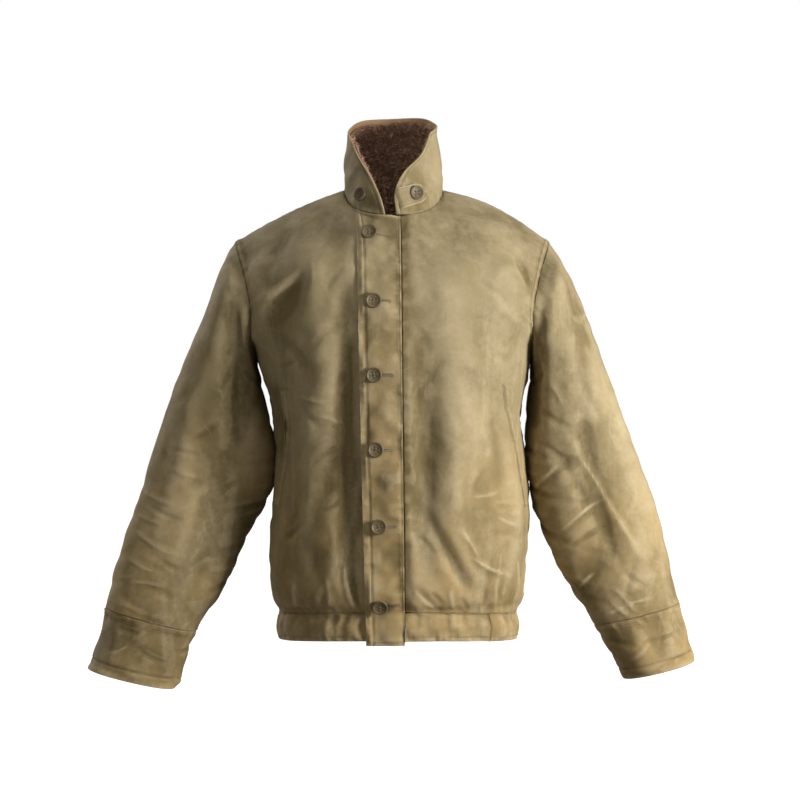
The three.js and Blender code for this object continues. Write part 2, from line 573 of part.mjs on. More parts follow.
// Columns of the fronts and the back. They meet the collar's and each other's points on the top seam.
const leftFrontColumns = (at) =>
  joined(steps(columnAt(placketSeamX(at), at), NECK_SHARE, NECK_STEPS), steps(NECK_SHARE, 1, SHOULDER_STEPS));
const collarEndX = COLLAR_EDGES.right[0].x;
const rightFrontColumns = (at) =>
  joined(
    steps(-1, -NECK_SHARE, SHOULDER_STEPS),
    steps(-NECK_SHARE, columnAt(collarEndX, at), NECK_STEPS),
    [columnAt(collarEndX, at), columnAt(placketSeamX(at) - UNDERLAP, at)],
  );
const backColumns = () =>
  joined(
    steps(-1, -NECK_SHARE, SHOULDER_STEPS),
    steps(-NECK_SHARE, 0, NECK_STEPS),
    steps(0, NECK_SHARE, NECK_STEPS),
    steps(NECK_SHARE, 1, SHOULDER_STEPS),
  );

const onRightFront = (u, at) => bodyPoint(u, at, "front");
const onBack = (u, at) => bodyPoint(u, at, "back");

const grids = {
  front_left: addNormals(gridOf(panelAts, leftFrontColumns, leftFrontPoint), 1),
  front_right: addNormals(gridOf(panelAts, rightFrontColumns, onRightFront), 1),
  back: addNormals(gridOf(panelAts, backColumns, onBack), -1),
  hem_band_left: addNormals(gridOf(BAND_ATS, leftFrontColumns, leftFrontPoint), 1),
  hem_band_right: addNormals(gridOf(BAND_ATS, rightFrontColumns, onRightFront), 1),
  hem_band_back: addNormals(gridOf(BAND_ATS, backColumns, onBack), -1),
};

// Sleeves and cuffs, with as many columns as the armhole has points on the body's panels.
for (const side of [1, -1]) {
  const shares = steps(0, 1, 2 * YOKE_STEPS).slice(0, -1);
  const onSleeve = (share, run) => sleevePoint(side, share, run);
  const name = sideName(side);
  grids["sleeve_" + name] = addNormals(gridOf(SLEEVE_RUNS, () => shares, onSleeve, true), -side);
  grids["cuff_" + name] = addNormals(gridOf(CUFF_RUNS, () => shares, onSleeve, true), -side);
}

// Collar: its lower edge takes the neckline points of the fronts and the back.
const neckRound = (x) => 180 - THREE.MathUtils.radToDeg(Math.asin(Math.abs(x - NECK.middleX) / NECK.half));
const necklineX = (grid) => grid.points[grid.points.length - 1].map((p) => p.x);
const leftNeckX = necklineX(grids.front_left).slice(0, NECK_STEPS + 1);
const rightNeckX = necklineX(grids.front_right).slice(SHOULDER_STEPS, SHOULDER_STEPS + NECK_STEPS + 1);
const leftRounds = [COLLAR_EDGES.left[0].x, ...leftNeckX.slice(0, -1)].map(neckRound);
const rightRounds = rightNeckX.slice(1).map((x) => -neckRound(x));
const backRounds = steps(-90, 90, 2 * NECK_STEPS);
const collarRounds = [...rightRounds.reverse(), ...backRounds, ...leftRounds.reverse()];
grids.collar = addNormals(gridOf(COLLAR_UPS, () => collarRounds, collarPoint), -1);

shareSeamNormals(Object.values(grids));

// Part of a grid, from one column or row to another.
const cutGrid = (grid, fromColumn, toColumn, toRow = grid.points.length - 1) => ({
  points: grid.points.slice(0, toRow + 1).map((row) => row.slice(fromColumn, toColumn + 1)),
  normals: grid.normals.slice(0, toRow + 1).map((row) => row.slice(fromColumn, toColumn + 1)),
  wrap: false,
});

// The left hem band is pieced under the pocket.
const bandJoint = NECK_STEPS + 1;
const { hem_band_left: leftBand, ...otherGrids } = grids;
const shell = {
  ...otherGrids,
  hem_band_left_front: cutGrid(leftBand, 0, bandJoint),
  hem_band_left_side: cutGrid(leftBand, bandJoint, leftBand.points[0].length - 1),
};
for (const [name, grid] of Object.entries(shell)) addPiece(name, wallGeometry(grid, 0, CLOTH), MATERIALS.cloth);

// Pile lining: the collar's inside short of its free edges.
const liningGrid = cutGrid(grids.collar, 1, collarRounds.length - 2, COLLAR_UPS.length - 2);
addPiece("collar_lining", wallGeometry(liningGrid, -CLOTH - LAP_GAP, PILE), MATERIALS.pile);

// Placket: sewn to the left front's edge, it laps over the right front.
const placketAts = [PLACKET.hemAt, ...BAND_ATS.slice(1, -1), ...panelAts.slice(0, -1), PLACKET.topAt];
const placketColumns = (at) => steps(columnAt(placketFreeX(at), at), columnAt(placketSeamX(at), at), 4);
const placketGrid = addNormals(gridOf(placketAts, placketColumns, onRightFront), 1);
addPiece("placket", wallGeometry(placketGrid, LAP_GAP + CLOTH, CLOTH), MATERIALS.cloth);

// Where the front has a given x and z, as a column and a height up the cloth.
function findOnFront(x, z) {
  let [low, high] = [HEM_AT, TOP_AT];
  for (let i = 0; i < 40; i++) {
    const middle = (low + high) / 2;
    if (plainBody(columnAt(x, middle), middle, "front").z < z) low = middle;
    else high = middle;
  }
  return [columnAt(x, low), low];
}

// Pocket welts: laid on the fronts.
for (const side of [1, -1]) {
  const welt = WELTS[sideName(side)];
  const [topU, topAt] = findOnFront(welt.topX, welt.topZ);
  const [bottomU, bottomAt] = findOnFront(welt.bottomX, welt.bottomZ);
  const rows = steps(0, 1, 10);
  const columns = () => steps(0, (side * WELT_WIDTH) / ACROSS, 2);
  const onFront = side > 0 ? leftFrontPoint : onRightFront;
  const weltPoint = (across, t) => onFront(lerp(bottomU, topU, t) + across, lerp(bottomAt, topAt, t));
  const grid = addNormals(gridOf(rows, columns, weltPoint), side);
  const name = "pocket_welt_" + sideName(side);
  addPiece(name, wallGeometry(grid, 1.6 * LAP_GAP + WELT_CLOTH, WELT_CLOTH), MATERIALS.cloth);
}

// Where a leaf of the collar has a given x and z, as a point and its outward normal.
function onCollar(x, z) {
  const side = x > 0 ? 1 : -1;
  let [round, up] = [side * 130, 0.5];
  for (let pass = 0; pass < 30; pass++) {
    const p = collarPoint(round, up);
    const [byRound, byUp] = [collarPoint(round + 0.5, up).sub(p), collarPoint(round, up + 0.01).sub(p)];
    const [a, b, c, d] = [byRound.x / 0.5, byUp.x / 0.01, byRound.z / 0.5, byUp.z / 0.01];
    const det = a * d - b * c;
    const [missX, missZ] = [x - p.x, z - p.z];
    round += clamp((missX * d - missZ * b) / det, -12, 12);
    up = clamp(up + clamp((missZ * a - missX * c) / det, -0.2, 0.2), 0, 1);
  }
  const place = collarPoint(round, up);
  const across = collarPoint(round + 1, up).sub(collarPoint(round - 1, up));
  const along = collarPoint(round, up + 0.02).sub(collarPoint(round, up - 0.02));
  return { place, normal: across.cross(along).normalize().negate() };
}

// Throat tab: half its width shrinks to a round end.
const tabRows = [0, 0.2, 0.42, TAB.roundFrom, 0.8, 0.9, 0.97, 1];
const tabAlong = new THREE.Vector2(TAB.endX - TAB.startX, TAB.endZ - TAB.startZ).normalize();
function tabPoint(across, t) {
  const past = clamp((t - TAB.roundFrom) / (1 - TAB.roundFrom), 0, 1);
  const half = lerp(TAB.startHalf, TAB.endHalf, t) * Math.sqrt(1 - 0.9 * past * past);
  const x = lerp(TAB.startX, TAB.endX, t) - across * half * tabAlong.y;
  const z = lerp(TAB.startZ, TAB.endZ, t) + across * half * tabAlong.x;
  return onCollar(x, z).place;
}
const tabGrid = addNormals(gridOf(tabRows, () => steps(-1, 1, 4), tabPoint), -1);
addPiece("throat_tab", wallGeometry(tabGrid, LAP_GAP + WELT_CLOTH, WELT_CLOTH), MATERIALS.cloth);

// A button about its own axis, with its shank's foot at height 0.
const wasm = await Module();
wasm.setup();

function buttonSolid(size) {
  const { radius, thick, rim, rimHeight, shank, stand, sides } = BUTTON;
  const profile = [
    [0, 0],
    [shank, 0],
    [shank, stand],
    [radius - 1.6, stand],
    [radius, stand + 1.2],
    [radius, stand + thick + rimHeight - 0.6],
    [radius - 0.8, stand + thick + rimHeight],
    [radius - rim, stand + thick + rimHeight - 0.3],
    [radius - rim - 1, stand + thick],
    [0, stand + thick],
  ];
  const turned = wasm.CrossSection.ofPolygons([profile]).revolve(sides);
  const hole = wasm.Manifold.cylinder(thick + 4, HOLES.radius, HOLES.radius, HOLES.sides);
  const half = HOLES.across / 2;
  const holes = [
    [half, half],
    [-half, half],
    [-half, -half],
    [half, -half],
  ].map(([x, y]) => hole.translate([x, y, stand + 0.6]));
  return holes.reduce((solid, h) => solid.subtract(h), turned).scale(size);
}

function buttonGeometry(size) {
  const mesh = buttonSolid(size).getMesh();
  const geometry = new THREE.BufferGeometry();
  const positions = new Float32Array(mesh.numVert * 3);
  for (let i = 0; i < mesh.numVert; i++)
    for (let k = 0; k < 3; k++) positions[3 * i + k] = mesh.vertProperties[i * mesh.numProp + k];
  geometry.setAttribute("position", new THREE.BufferAttribute(positions, 3));
  return geometry.setIndex(new THREE.BufferAttribute(mesh.triVerts, 1));
}

// Sets a button on a place of the cloth, upright along its normal.
function addButton(name, place, normal, size) {
  const mesh = addPiece(name, buttonGeometry(size), MATERIALS.button);
  mesh.quaternion.setFromUnitVectors(point(0, 0, 1), normal);
  mesh.position.copy(place);
}

PLACKET_BUTTONS.forEach(({ x, z }, i) => {
  const [u, at] = findOnFront(x, z);
  const normal = plainNormal(u, at, "front");
  const place = bodyPoint(u, at, "front").addScaledVector(normal, LAP_GAP + CLOTH + 0.4);
  addButton("button_" + (i + 1), place, normal, 1);
});
for (const { name, x, z, onTab } of COLLAR_BUTTONS) {
  const { place, normal } = onCollar(x, z);
  place.addScaledVector(normal, 0.5 + (onTab ? LAP_GAP + WELT_CLOTH : 0));
  addButton(name, place, normal, COLLAR_BUTTON_SIZE);
}

export default jacket;
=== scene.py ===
"""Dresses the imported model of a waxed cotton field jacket: folds, seams, stitching, pile and finishes.

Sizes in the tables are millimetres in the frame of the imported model: +Z up, the front faces -Y and the
wearer's left is +X. Meshes are in metres.
"""

import bmesh
import bpy
import numpy as np
from mathutils import Matrix, Vector


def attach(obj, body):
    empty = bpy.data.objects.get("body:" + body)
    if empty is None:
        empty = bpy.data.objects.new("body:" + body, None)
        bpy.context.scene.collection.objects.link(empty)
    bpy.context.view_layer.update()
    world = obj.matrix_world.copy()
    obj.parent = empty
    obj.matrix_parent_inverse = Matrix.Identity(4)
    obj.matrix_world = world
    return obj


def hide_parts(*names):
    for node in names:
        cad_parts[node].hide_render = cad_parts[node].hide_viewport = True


bl_info = {
    "name": "Waxed Field Jacket",
    "version": (1, 0, 0),
    "blender": (4, 5, 0),
    "location": "3D View > Sidebar > Jacket",
    "description": "Makes the cloth, trim and finishes of a waxed cotton field jacket",
    "category": "Add Mesh",
}

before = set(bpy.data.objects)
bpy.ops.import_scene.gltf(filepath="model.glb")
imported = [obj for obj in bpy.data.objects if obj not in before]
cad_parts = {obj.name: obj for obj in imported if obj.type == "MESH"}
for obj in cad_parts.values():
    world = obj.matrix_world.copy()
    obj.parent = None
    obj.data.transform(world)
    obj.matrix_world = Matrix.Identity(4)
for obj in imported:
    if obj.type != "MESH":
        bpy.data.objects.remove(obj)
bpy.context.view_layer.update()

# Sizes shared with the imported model.

MM = 0.001
EDGES = ("left", "right", "low", "top")
SEAM_GAP = 0.4
LAP_GAP = 0.6
HEM_AT = -40
ARMPIT_AT = 350
TOP_AT = 520
SQUARENESS = 2.35
NECK_SHARE = 0.42
ACROSS = 260

NECK = dict(middle_x=2, half=68, front=87, back=62, front_z=-40, side_z=3, back_z=18, rise=1.3)
SHOULDER = dict(tip_x=220, tip_y=2, tip_z=-71, lift_left=12, lift_right=6)
PLACKET = dict(free_top=-48, free_hem=-34, seam_top=12, seam_hem=18, top_at=514, hem_at=-46, step=2, roll=45)
UNDERLAP = 9
PLAIN_ROUND = 0.5
BACK_STEP = 2.8

BUTTON_SIZE = dict(radius=10.4, thick=2.6, rim=2.4, rim_height=1.2, stand=1.4)
HOLE_SPREAD = 3.4
HOLE_RADIUS = 0.9
PLACKET_BUTTONS = [(-29.7, -67), (-24.1, -160), (-23.1, -258), (-20.9, -357), (-17, -459), (-15.3, -564)]
# Where each buttonhole ends, seen from the front.
BUTTONHOLE_ENDS = [-4.5, -2.5, 0.5, -0.5, 5.5, 9.5]
# Name, x, z, how far it is tipped forward, and the layers of the tab under it.
COLLAR_BUTTONS = [("button_collar_right", -41.6, -10.5, -0.3, 0), ("button_collar_left", 31.9, -10, -0.9, 1)]
TAB = dict(start=(7, -19), end=(45, -6), start_half=14.5, end_half=13.5, round_from=0.66)
TAB_ROW = 3
WELT_WIDTH = 23
WELTS = {
    1: dict(top=(148, -270), bottom=(182, -437)),
    -1: dict(top=(-140, -276), bottom=(-153, -438)),
}

# Rings of the body up the cloth: place, height at the centre front, the sides and the centre back, half
# width, sideways place, depth of the front and of the back.
BODY_RINGS = [
    (HEM_AT, -613, -622, -624, 166, 8, 126, 101),
    (-20, -594, -603, -605, 169, 8, 129, 104),
    (0, -575, -584, -586, 165, 8, 126, 101),
    (16, -561, -569, -571, 172, 9, 134, 108),
    (40, -537, -545, -547, 176, 8.5, 139, 112),
    (90, -488, -495, -497, 178, 9.5, 141, 108),
    (150, -428, -434, -436, 177, 12, 141, 102),
    (215, -363, -368, -370, 173.5, 11.5, 141, 104),
    (275, -303, -306, -310, 174, 7, 142, 111),
    (ARMPIT_AT, -228, -232, -238, 191, 3, 142, 119),
]
# Sections of the shoulders: place, y and z at the centre, x, y and z at the armhole, degrees of ring covered.
YOKE_ROWS = {
    "front": [
        (385, -139, -186, 193, -50, -208, 78),
        (425, -131, -141, 192, -80, -168, 60),
        (470, -114, -92, 203, -60, -118, 54),
    ],
    "back": [
        (385, 122, -194, 194, 54, -210, 78),
        (425, 119, -134, 199, 82, -168, 62),
        (470, 100, -58, 208, 62, -116, 58),
    ],
}
# Sleeve sections: distance down the sleeve, x and z of the inner and outer side, middle and half depth.
CUFF_RUN = 440
SLEEVE_END = 518
SLEEVE_SQUARENESS = 2.2
ACROSS_SLEEVE = (0.5, 0.5, 1)
SLEEVE_ROWS = {
    1: [
        (26, 193, -243, 236, -95, 1, 86),
        (70, 193, -256, 259, -146, 3, 82),
        (112, 191, -274, 282, -202, 5, 78),
        (165, 189, -312, 306, -264, 6, 72),
        (220, 190, -362, 328, -326, 5, 66),
        (275, 194, -412, 348, -386, 1, 59),
        (325, 207, -460, 364, -434, -5, 54),
        (375, 230, -516, 380, -487, -12, 50),
        (412, 253, -562, 391, -532, -18, 47),
        (CUFF_RUN, 281, -602, 398, -571, -22, 43),
        (478, 300, -640, 408, -611, -26, 42),
        (SLEEVE_END, 320, -676, 418, -651, -30, 38),
    ],
    -1: [
        (26, 190, -243, 233, -97, 1, 86),
        (70, 186, -256, 256, -152, 3, 82),
        (112, 181, -276, 279, -206, 5, 78),
        (165, 172, -316, 303, -268, 6, 72),
        (220, 168, -366, 322, -330, 5, 66),
        (275, 175, -418, 343, -388, 1, 60),
        (325, 193, -466, 359, -438, -5, 55),
        (375, 219, -520, 375, -492, -12, 50),
        (412, 242, -562, 387, -536, -18, 48),
        (CUFF_RUN, 272, -611, 397, -578, -22, 45),
        (478, 286, -650, 409, -620, -26, 44),
        (SLEEVE_END, 301, -690, 421, -661, -30, 40),
    ],
}
# How far in the rows of stitches lie: beside the sleeve's seam, at the cuff's seam and its opening, at the
# seam and the fold of a hem band, along a welt, and on the placket from its free edge, its top and its foot.
SLEEVE_SEAM_ROWS = (2.4, 8.0)
CUFF_SEAM_ROWS = (2.4, 8.2)
CUFF_ROW = 16
BAND_ROWS = dict(top=2.2, low=6.0)
WELT_ROW = 2.6
PLACKET_ROWS = dict(edge=2.6, inner=10.0, top=4.0, low=5.0)
# Collar: its top edge by degrees about the neck, and its free edges by share of its height.
COLLAR_TOP = [
    (-172, -57, -38, 64),
    (-130, -61, -12, 78),
    (-90, -60, 18, 92),
    (-45, -43, 55, 108),
    (0, 0, 70, 113),
    (45, 43, 58, 112),
    (90, 61, 20, 99),
    (130, 62, -10, 89),
    (172, 55, -36, 79),
]
COLLAR_EDGES = {
    -1: [
        (0, -9, -87, -38),
        (0.25, -16, -84, -14),
        (0.5, -29, -74, 13),
        (0.75, -45, -58, 40),
        (1, -57, -38, 64),
    ],
    1: [(0, 6, -87, -38), (0.25, 4, -88, -8), (0.5, 17, -80, 20), (0.75, 41, -60, 46), (1, 55, -36, 79)],
}
COLLAR_BOW = 3
COLLAR_ROW = 6.5
EDGE_REACH = 60
FACING = 0.12
# How far the pile at the back reaches below the neck seam, as a share of the collar's height.
PILE_BELOW = 0.5
# Columns of the pile's ground that have no fibres, at each of its ends.
PILE_MARGIN = 9

# Folds.

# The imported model's own, seen from the front: x and z of both ends, width and depth. A ridge's is negative.
FOLDS = {
    "front": [
        (-58, -150, -52, -530, 13, 3),
        (-94, -80, -98, -318, 22, -4),
        (-144, -60, -182, -150, 12, 3.5),
        (-117, -115, -168, -183, 12, 4),
        (-75, -278, -89, -424, 12, 2.5),
        (-112, -291, -117, -451, 12, -2.5),
        (-143, -320, -137, -505, 11, 2.2),
        (-62, -505, -50, -568, 7, 2.4),
        (-82, -537, -98, -568, 7, 2),
        (-124, -528, -114, -572, 7, 2),
        (51, -264, 48, -451, 13, 4),
        (46, -446, 97, -537, 10, 5.5),
        (30, -545, 60, -570, 7, 3.5),
        (84, -291, 78, -477, 16, -3),
        (146, -169, 180, -196, 7, -2.4),
        (178, -92, 184, -142, 10, 3.5),
        (139, -470, 176, -480, 7, 2),
        (118, -530, 128, -572, 7, 2),
    ],
    "back": [
        (-158, -150, -95, -262, 14, 4),
        (156, -168, 88, -292, 13, 4),
        (-62, -330, -52, -505, 15, 3.5),
        (42, -305, 58, -482, 14, 3),
        (116, -380, 106, -540, 12, 3),
        (-122, -405, -110, -548, 12, 3),
        (-82, -395, 24, -412, 11, 3),
        (-8, -20, -2, -120, 18, -2),
        (-84, -545, -78, -578, 7, 2),
        (-24, -540, -30, -580, 8, 2.2),
        (30, -548, 34, -578, 7, 2),
        (84, -542, 80, -579, 7, 2),
    ],
}
SLEEVE_FOLDS = {
    1: {
        "front": [
            (258, -150, 262, -420, 14, 4),
            (242, -346, 336, -505, 8, -3),
            (228, -368, 322, -528, 8, 3),
            (203, -415, 236, -376, 7, 2.5),
            (228, -475, 290, -424, 7, 3),
            (258, -549, 284, -520, 7, 3),
            (306, -572, 358, -538, 6, 2.5),
            (332, -511, 316, -562, 6, 2.4),
            (340, -600, 362, -640, 6, 1.2),
        ],
        "back": [
            (246, -205, 272, -356, 14, 3.5),
            (214, -392, 318, -372, 9, 3.5),
            (226, -440, 336, -405, 9, 3.5),
            (250, -500, 342, -452, 8, 3),
            (298, -566, 372, -530, 7, 2.5),
        ],
    },
    -1: {
        "front": [
            (-226, -110, -220, -372, 14, 4),
            (-201, -160, -196, -275, 10, -2.5),
            (-330, -428, -270, -405, 7, 2),
            (-344, -470, -280, -447, 7, 2.2),
            (-350, -496, -300, -482, 7, 2),
            (-333, -545, -292, -566, 7, 2.5),
            (-370, -560, -340, -578, 6, 1.8),
            (-346, -630, -302, -652, 5, 1.5),
        ],
        "back": [
            (-240, -200, -262, -350, 14, 3.5),
            (-196, -400, -306, -374, 9, 3.5),
            (-214, -446, -326, -420, 9, 3.2),
            (-246, -512, -340, -470, 8, 3),
            (-290, -574, -366, -540, 7, 2.4),
        ],
    },
}

# Broad soft folds added to the imported model's own, given as the folds above.
SOFT_FOLDS = {
    "front": [
        (36, -215, 40, -440, 12, 4.0),
        (84, -230, 80, -470, 22, -2.6),
        (119, -280, 150, -395, 9, 2.2),
        (56, -452, 98, -532, 9, 2.4),
        (32, -426, 50, -520, 13, 4.5),
        (50, -330, 51, -436, 12, 2.2),
        (128, -440, 134, -520, 24, -2.6),
        (-124, -138, -166, -200, 14, 2.6),
        (72, -100, 66, -200, 20, -1.4),
        (128, -110, 112, -230, 16, 1.3),
        (110, -470, 140, -550, 14, 1.6),
        (-66, -150, -62, -560, 12, 4.2),
        (-126, -190, -122, -470, 19, -2.4),
        (-120, -480, -74, -545, 14, 2.0),
        (-92, -506, -62, -562, 8, -1.6),
        (-92, -90, -84, -190, 16, 1.2),
    ],
    "back": [
        (-60, -180, -52, -420, 20, 2.4),
        (72, -200, 60, -430, 20, 2.2),
        (0, -150, 4, -520, 24, -1.8),
        (-122, -300, -112, -520, 15, -2.0),
        (124, -300, 118, -520, 15, 2.0),
    ],
}
SLEEVE_SOFT_FOLDS = {
    1: {
        "front": [
            (201, -160, 195, -318, 11, 6.0),
            (262, -330, 298, -500, 11, 3.2),
            (304, -330, 346, -500, 15, -2.0),
            (226, -230, 232, -330, 12, 1.6),
        ],
        "back": [(250, -220, 286, -420, 14, 2.0), (300, -420, 350, -530, 12, -1.6)],
    },
    -1: {
        "front": [
            (-213, -146, -206, -336, 13, 8.0),
            (-206, -300, -214, -420, 20, 4.0),
            (-232, -380, -262, -520, 16, 3.5),
            (-268, -190, -288, -400, 15, -2.0),
            (-290, -340, -330, -500, 14, -1.8),
            (-262, -430, -292, -540, 10, 1.8),
        ],
        "back": [(-246, -220, -280, -420, 14, 2.0), (-296, -420, -346, -530, 12, -1.6)],
    },
}

# Folds that run round a sleeve: share of the way round from the underarm, distance down the sleeve, reach to
# both sides as a share, width, depth and slant in millimetres for one way round.
SLEEVE_RINGS = {
    1: [
        (0.00, 232, 0.15, 48, -6.0, 0),
        (0.00, 96, 0.13, 9, 2.0, 60),
        (0.98, 168, 0.12, 8, 1.6, -90),
        (0.02, 216, 0.14, 7, 2.4, 150),
        (0.00, 247, 0.12, 6, -1.8, 130),
        (0.03, 276, 0.13, 6, 2.6, 160),
        (0.99, 307, 0.11, 5, -1.6, 110),
        (0.02, 332, 0.14, 6, 2.4, 190),
        (0.00, 361, 0.10, 5, 1.6, 60),
        (0.03, 384, 0.12, 4.5, -1.5, 150),
        (0.01, 404, 0.12, 4.5, 2.2, 120),
        (0.98, 424, 0.10, 4, 1.3, -60),
        (0.04, 456, 0.12, 4.5, 1.6, 110),
        (0.99, 483, 0.10, 4.5, 1.2, 60),
        (0.50, 372, 0.10, 9, 1.0, 60),
        (0.47, 412, 0.10, 6, 0.9, -50),
    ],
    -1: [
        (0.00, 228, 0.15, 54, -6.5, 0),
        (0.01, 104, 0.13, 9, 1.8, -60),
        (0.00, 176, 0.12, 8, 1.6, 80),
        (0.02, 226, 0.13, 7, 2.2, 120),
        (0.98, 258, 0.12, 6, -1.5, 110),
        (0.02, 290, 0.13, 6, 2.3, 140),
        (0.00, 318, 0.11, 5.5, 1.5, 100),
        (0.02, 346, 0.12, 5.5, 2.0, 130),
        (0.99, 374, 0.11, 5, -1.4, 60),
        (0.02, 398, 0.12, 5, 2.0, 120),
        (0.99, 424, 0.10, 4, 1.3, 50),
        (0.03, 462, 0.11, 4.5, 1.5, 90),
        (0.50, 298, 0.12, 8, 1.3, 90),
        (0.52, 342, 0.11, 7, 1.4, 100),
        (0.48, 388, 0.10, 6, 1.1, 80),
        (0.50, 420, 0.10, 5, 1.0, 60),
    ],
}
# The same on the body beside its side seams: side, place up the cloth, reach in columns, width, depth.
SIDE_RINGS = [
    (1, 22, 0.20, 7, -1.4),
    (1, 74, 0.25, 9, 1.6),
    (1, 150, 0.22, 10, 1.5),
    (1, 262, 0.22, 12, 1.8),
    (1, 318, 0.20, 8, -1.4),
    (-1, 20, 0.22, 7, -1.3),
    (-1, 62, 0.22, 9, 1.5),
    (-1, 118, 0.24, 10, -1.2),
    (-1, 226, 0.22, 11, 1.7),
    (-1, 300, 0.20, 9, 1.6),
]

# Finer creases: x and z of both ends, width, depth, and how far the middle bows to the left of the way from
# the first end to the second.
CREASES = {
    "front": [
        (-123, -284, -83, -294, 3.2, -0.9, 3),
        (-103, -311, -67, -324, 3.0, -0.8, -2),
        (-118, -300, -92, -330, 4.0, 0.8, 3),
        (-63, -505, -49, -575, 4.0, -1.6, 4),
        (-53, -526, -40, -575, 3.5, 1.5, 2),
        (-90, -520, -84, -574, 4.5, -1.2, -3),
        (-130, -534, -126, -574, 4.0, -1.1, 2),
        (-108, -548, -104, -575, 3.5, 1.1, 0),
        (-150, -480, -120, -450, 5.0, 1.2, 4),
        (-70, -190, -110, -232, 7.0, 1.2, 6),
        (-150, -205, -110, -262, 7.0, 1.4, -6),
        (-64, -350, -110, -382, 5.0, 0.8, 4),
        (-66, -420, -96, -440, 4.5, 0.9, -3),
        (-128, -240, -152, -252, 4.0, 0.8, 2),
        (-60, -110, -90, -150, 6.0, 0.9, 4),
        (27, -540, 62, -572, 4.0, -1.8, 3),
        (51, -546, 71, -566, 4.0, 1.6, 0),
        (91, -552, 103, -575, 4.0, 1.3, 0),
        (78, -540, 84, -575, 3.5, -1.2, 2),
        (138, -432, 178, -436, 4.0, 1.2, 3),
        (140, -446, 172, -462, 4.0, -0.9, 2),
        (172, -90, 190, -142, 6.0, 1.6, 4),
        (60, -250, 30, -300, 6.0, 1.0, 5),
        (112, -130, 160, -168, 5.0, 0.9, -4),
        (120, -210, 165, -240, 6.0, 1.0, 5),
        (30, -470, 60, -500, 5.0, 1.4, -3),
        (100, -480, 130, -530, 6.0, 1.3, 5),
        (66, -330, 110, -352, 6.0, 0.8, 4),
        (34, -190, 52, -236, 6.0, 0.8, -3),
        (126, -380, 108, -420, 5.0, 0.8, 3),
        (152, -520, 148, -574, 4.0, 1.2, 2),
        (168, -500, 176, -560, 4.0, -1.0, -3),
        (97, -494, 168, -532, 3.6, -1.4, 4),
        (104, -420, 150, -412, 4.0, -0.7, 3),
        (-187, -160, -116, -112, 8.0, -2.0, 4),
        (88, -460, 118, -508, 4.0, -1.0, -3),
    ],
    "back": [
        (-60, -130, -20, -160, 7.0, 1.0, 5),
        (40, -190, 96, -216, 6.0, 1.1, -6),
        (-130, -250, -88, -300, 6.0, 1.2, 5),
        (120, -300, 84, -352, 6.0, 1.1, -5),
        (-100, -360, -40, -372, 5.0, 1.0, 4),
        (10, -340, 70, -356, 5.0, 1.0, -4),
        (-30, -430, 50, -446, 5.0, 1.1, 5),
        (-140, -470, -96, -500, 5.0, 1.2, 4),
        (90, -450, 140, -480, 5.0, 1.1, -4),
        (-60, -520, -52, -580, 4.0, 1.4, 2),
        (-104, -530, -108, -580, 4.0, -1.2, -2),
        (2, -530, 4, -582, 4.0, 1.4, 2),
        (56, -536, 60, -582, 4.0, -1.2, 2),
        (112, -540, 108, -580, 4.0, 1.3, -2),
        (140, -536, 138, -578, 4.0, 1.1, 2),
        (-150, -520, -146, -578, 4.0, 1.2, 2),
    ],
}
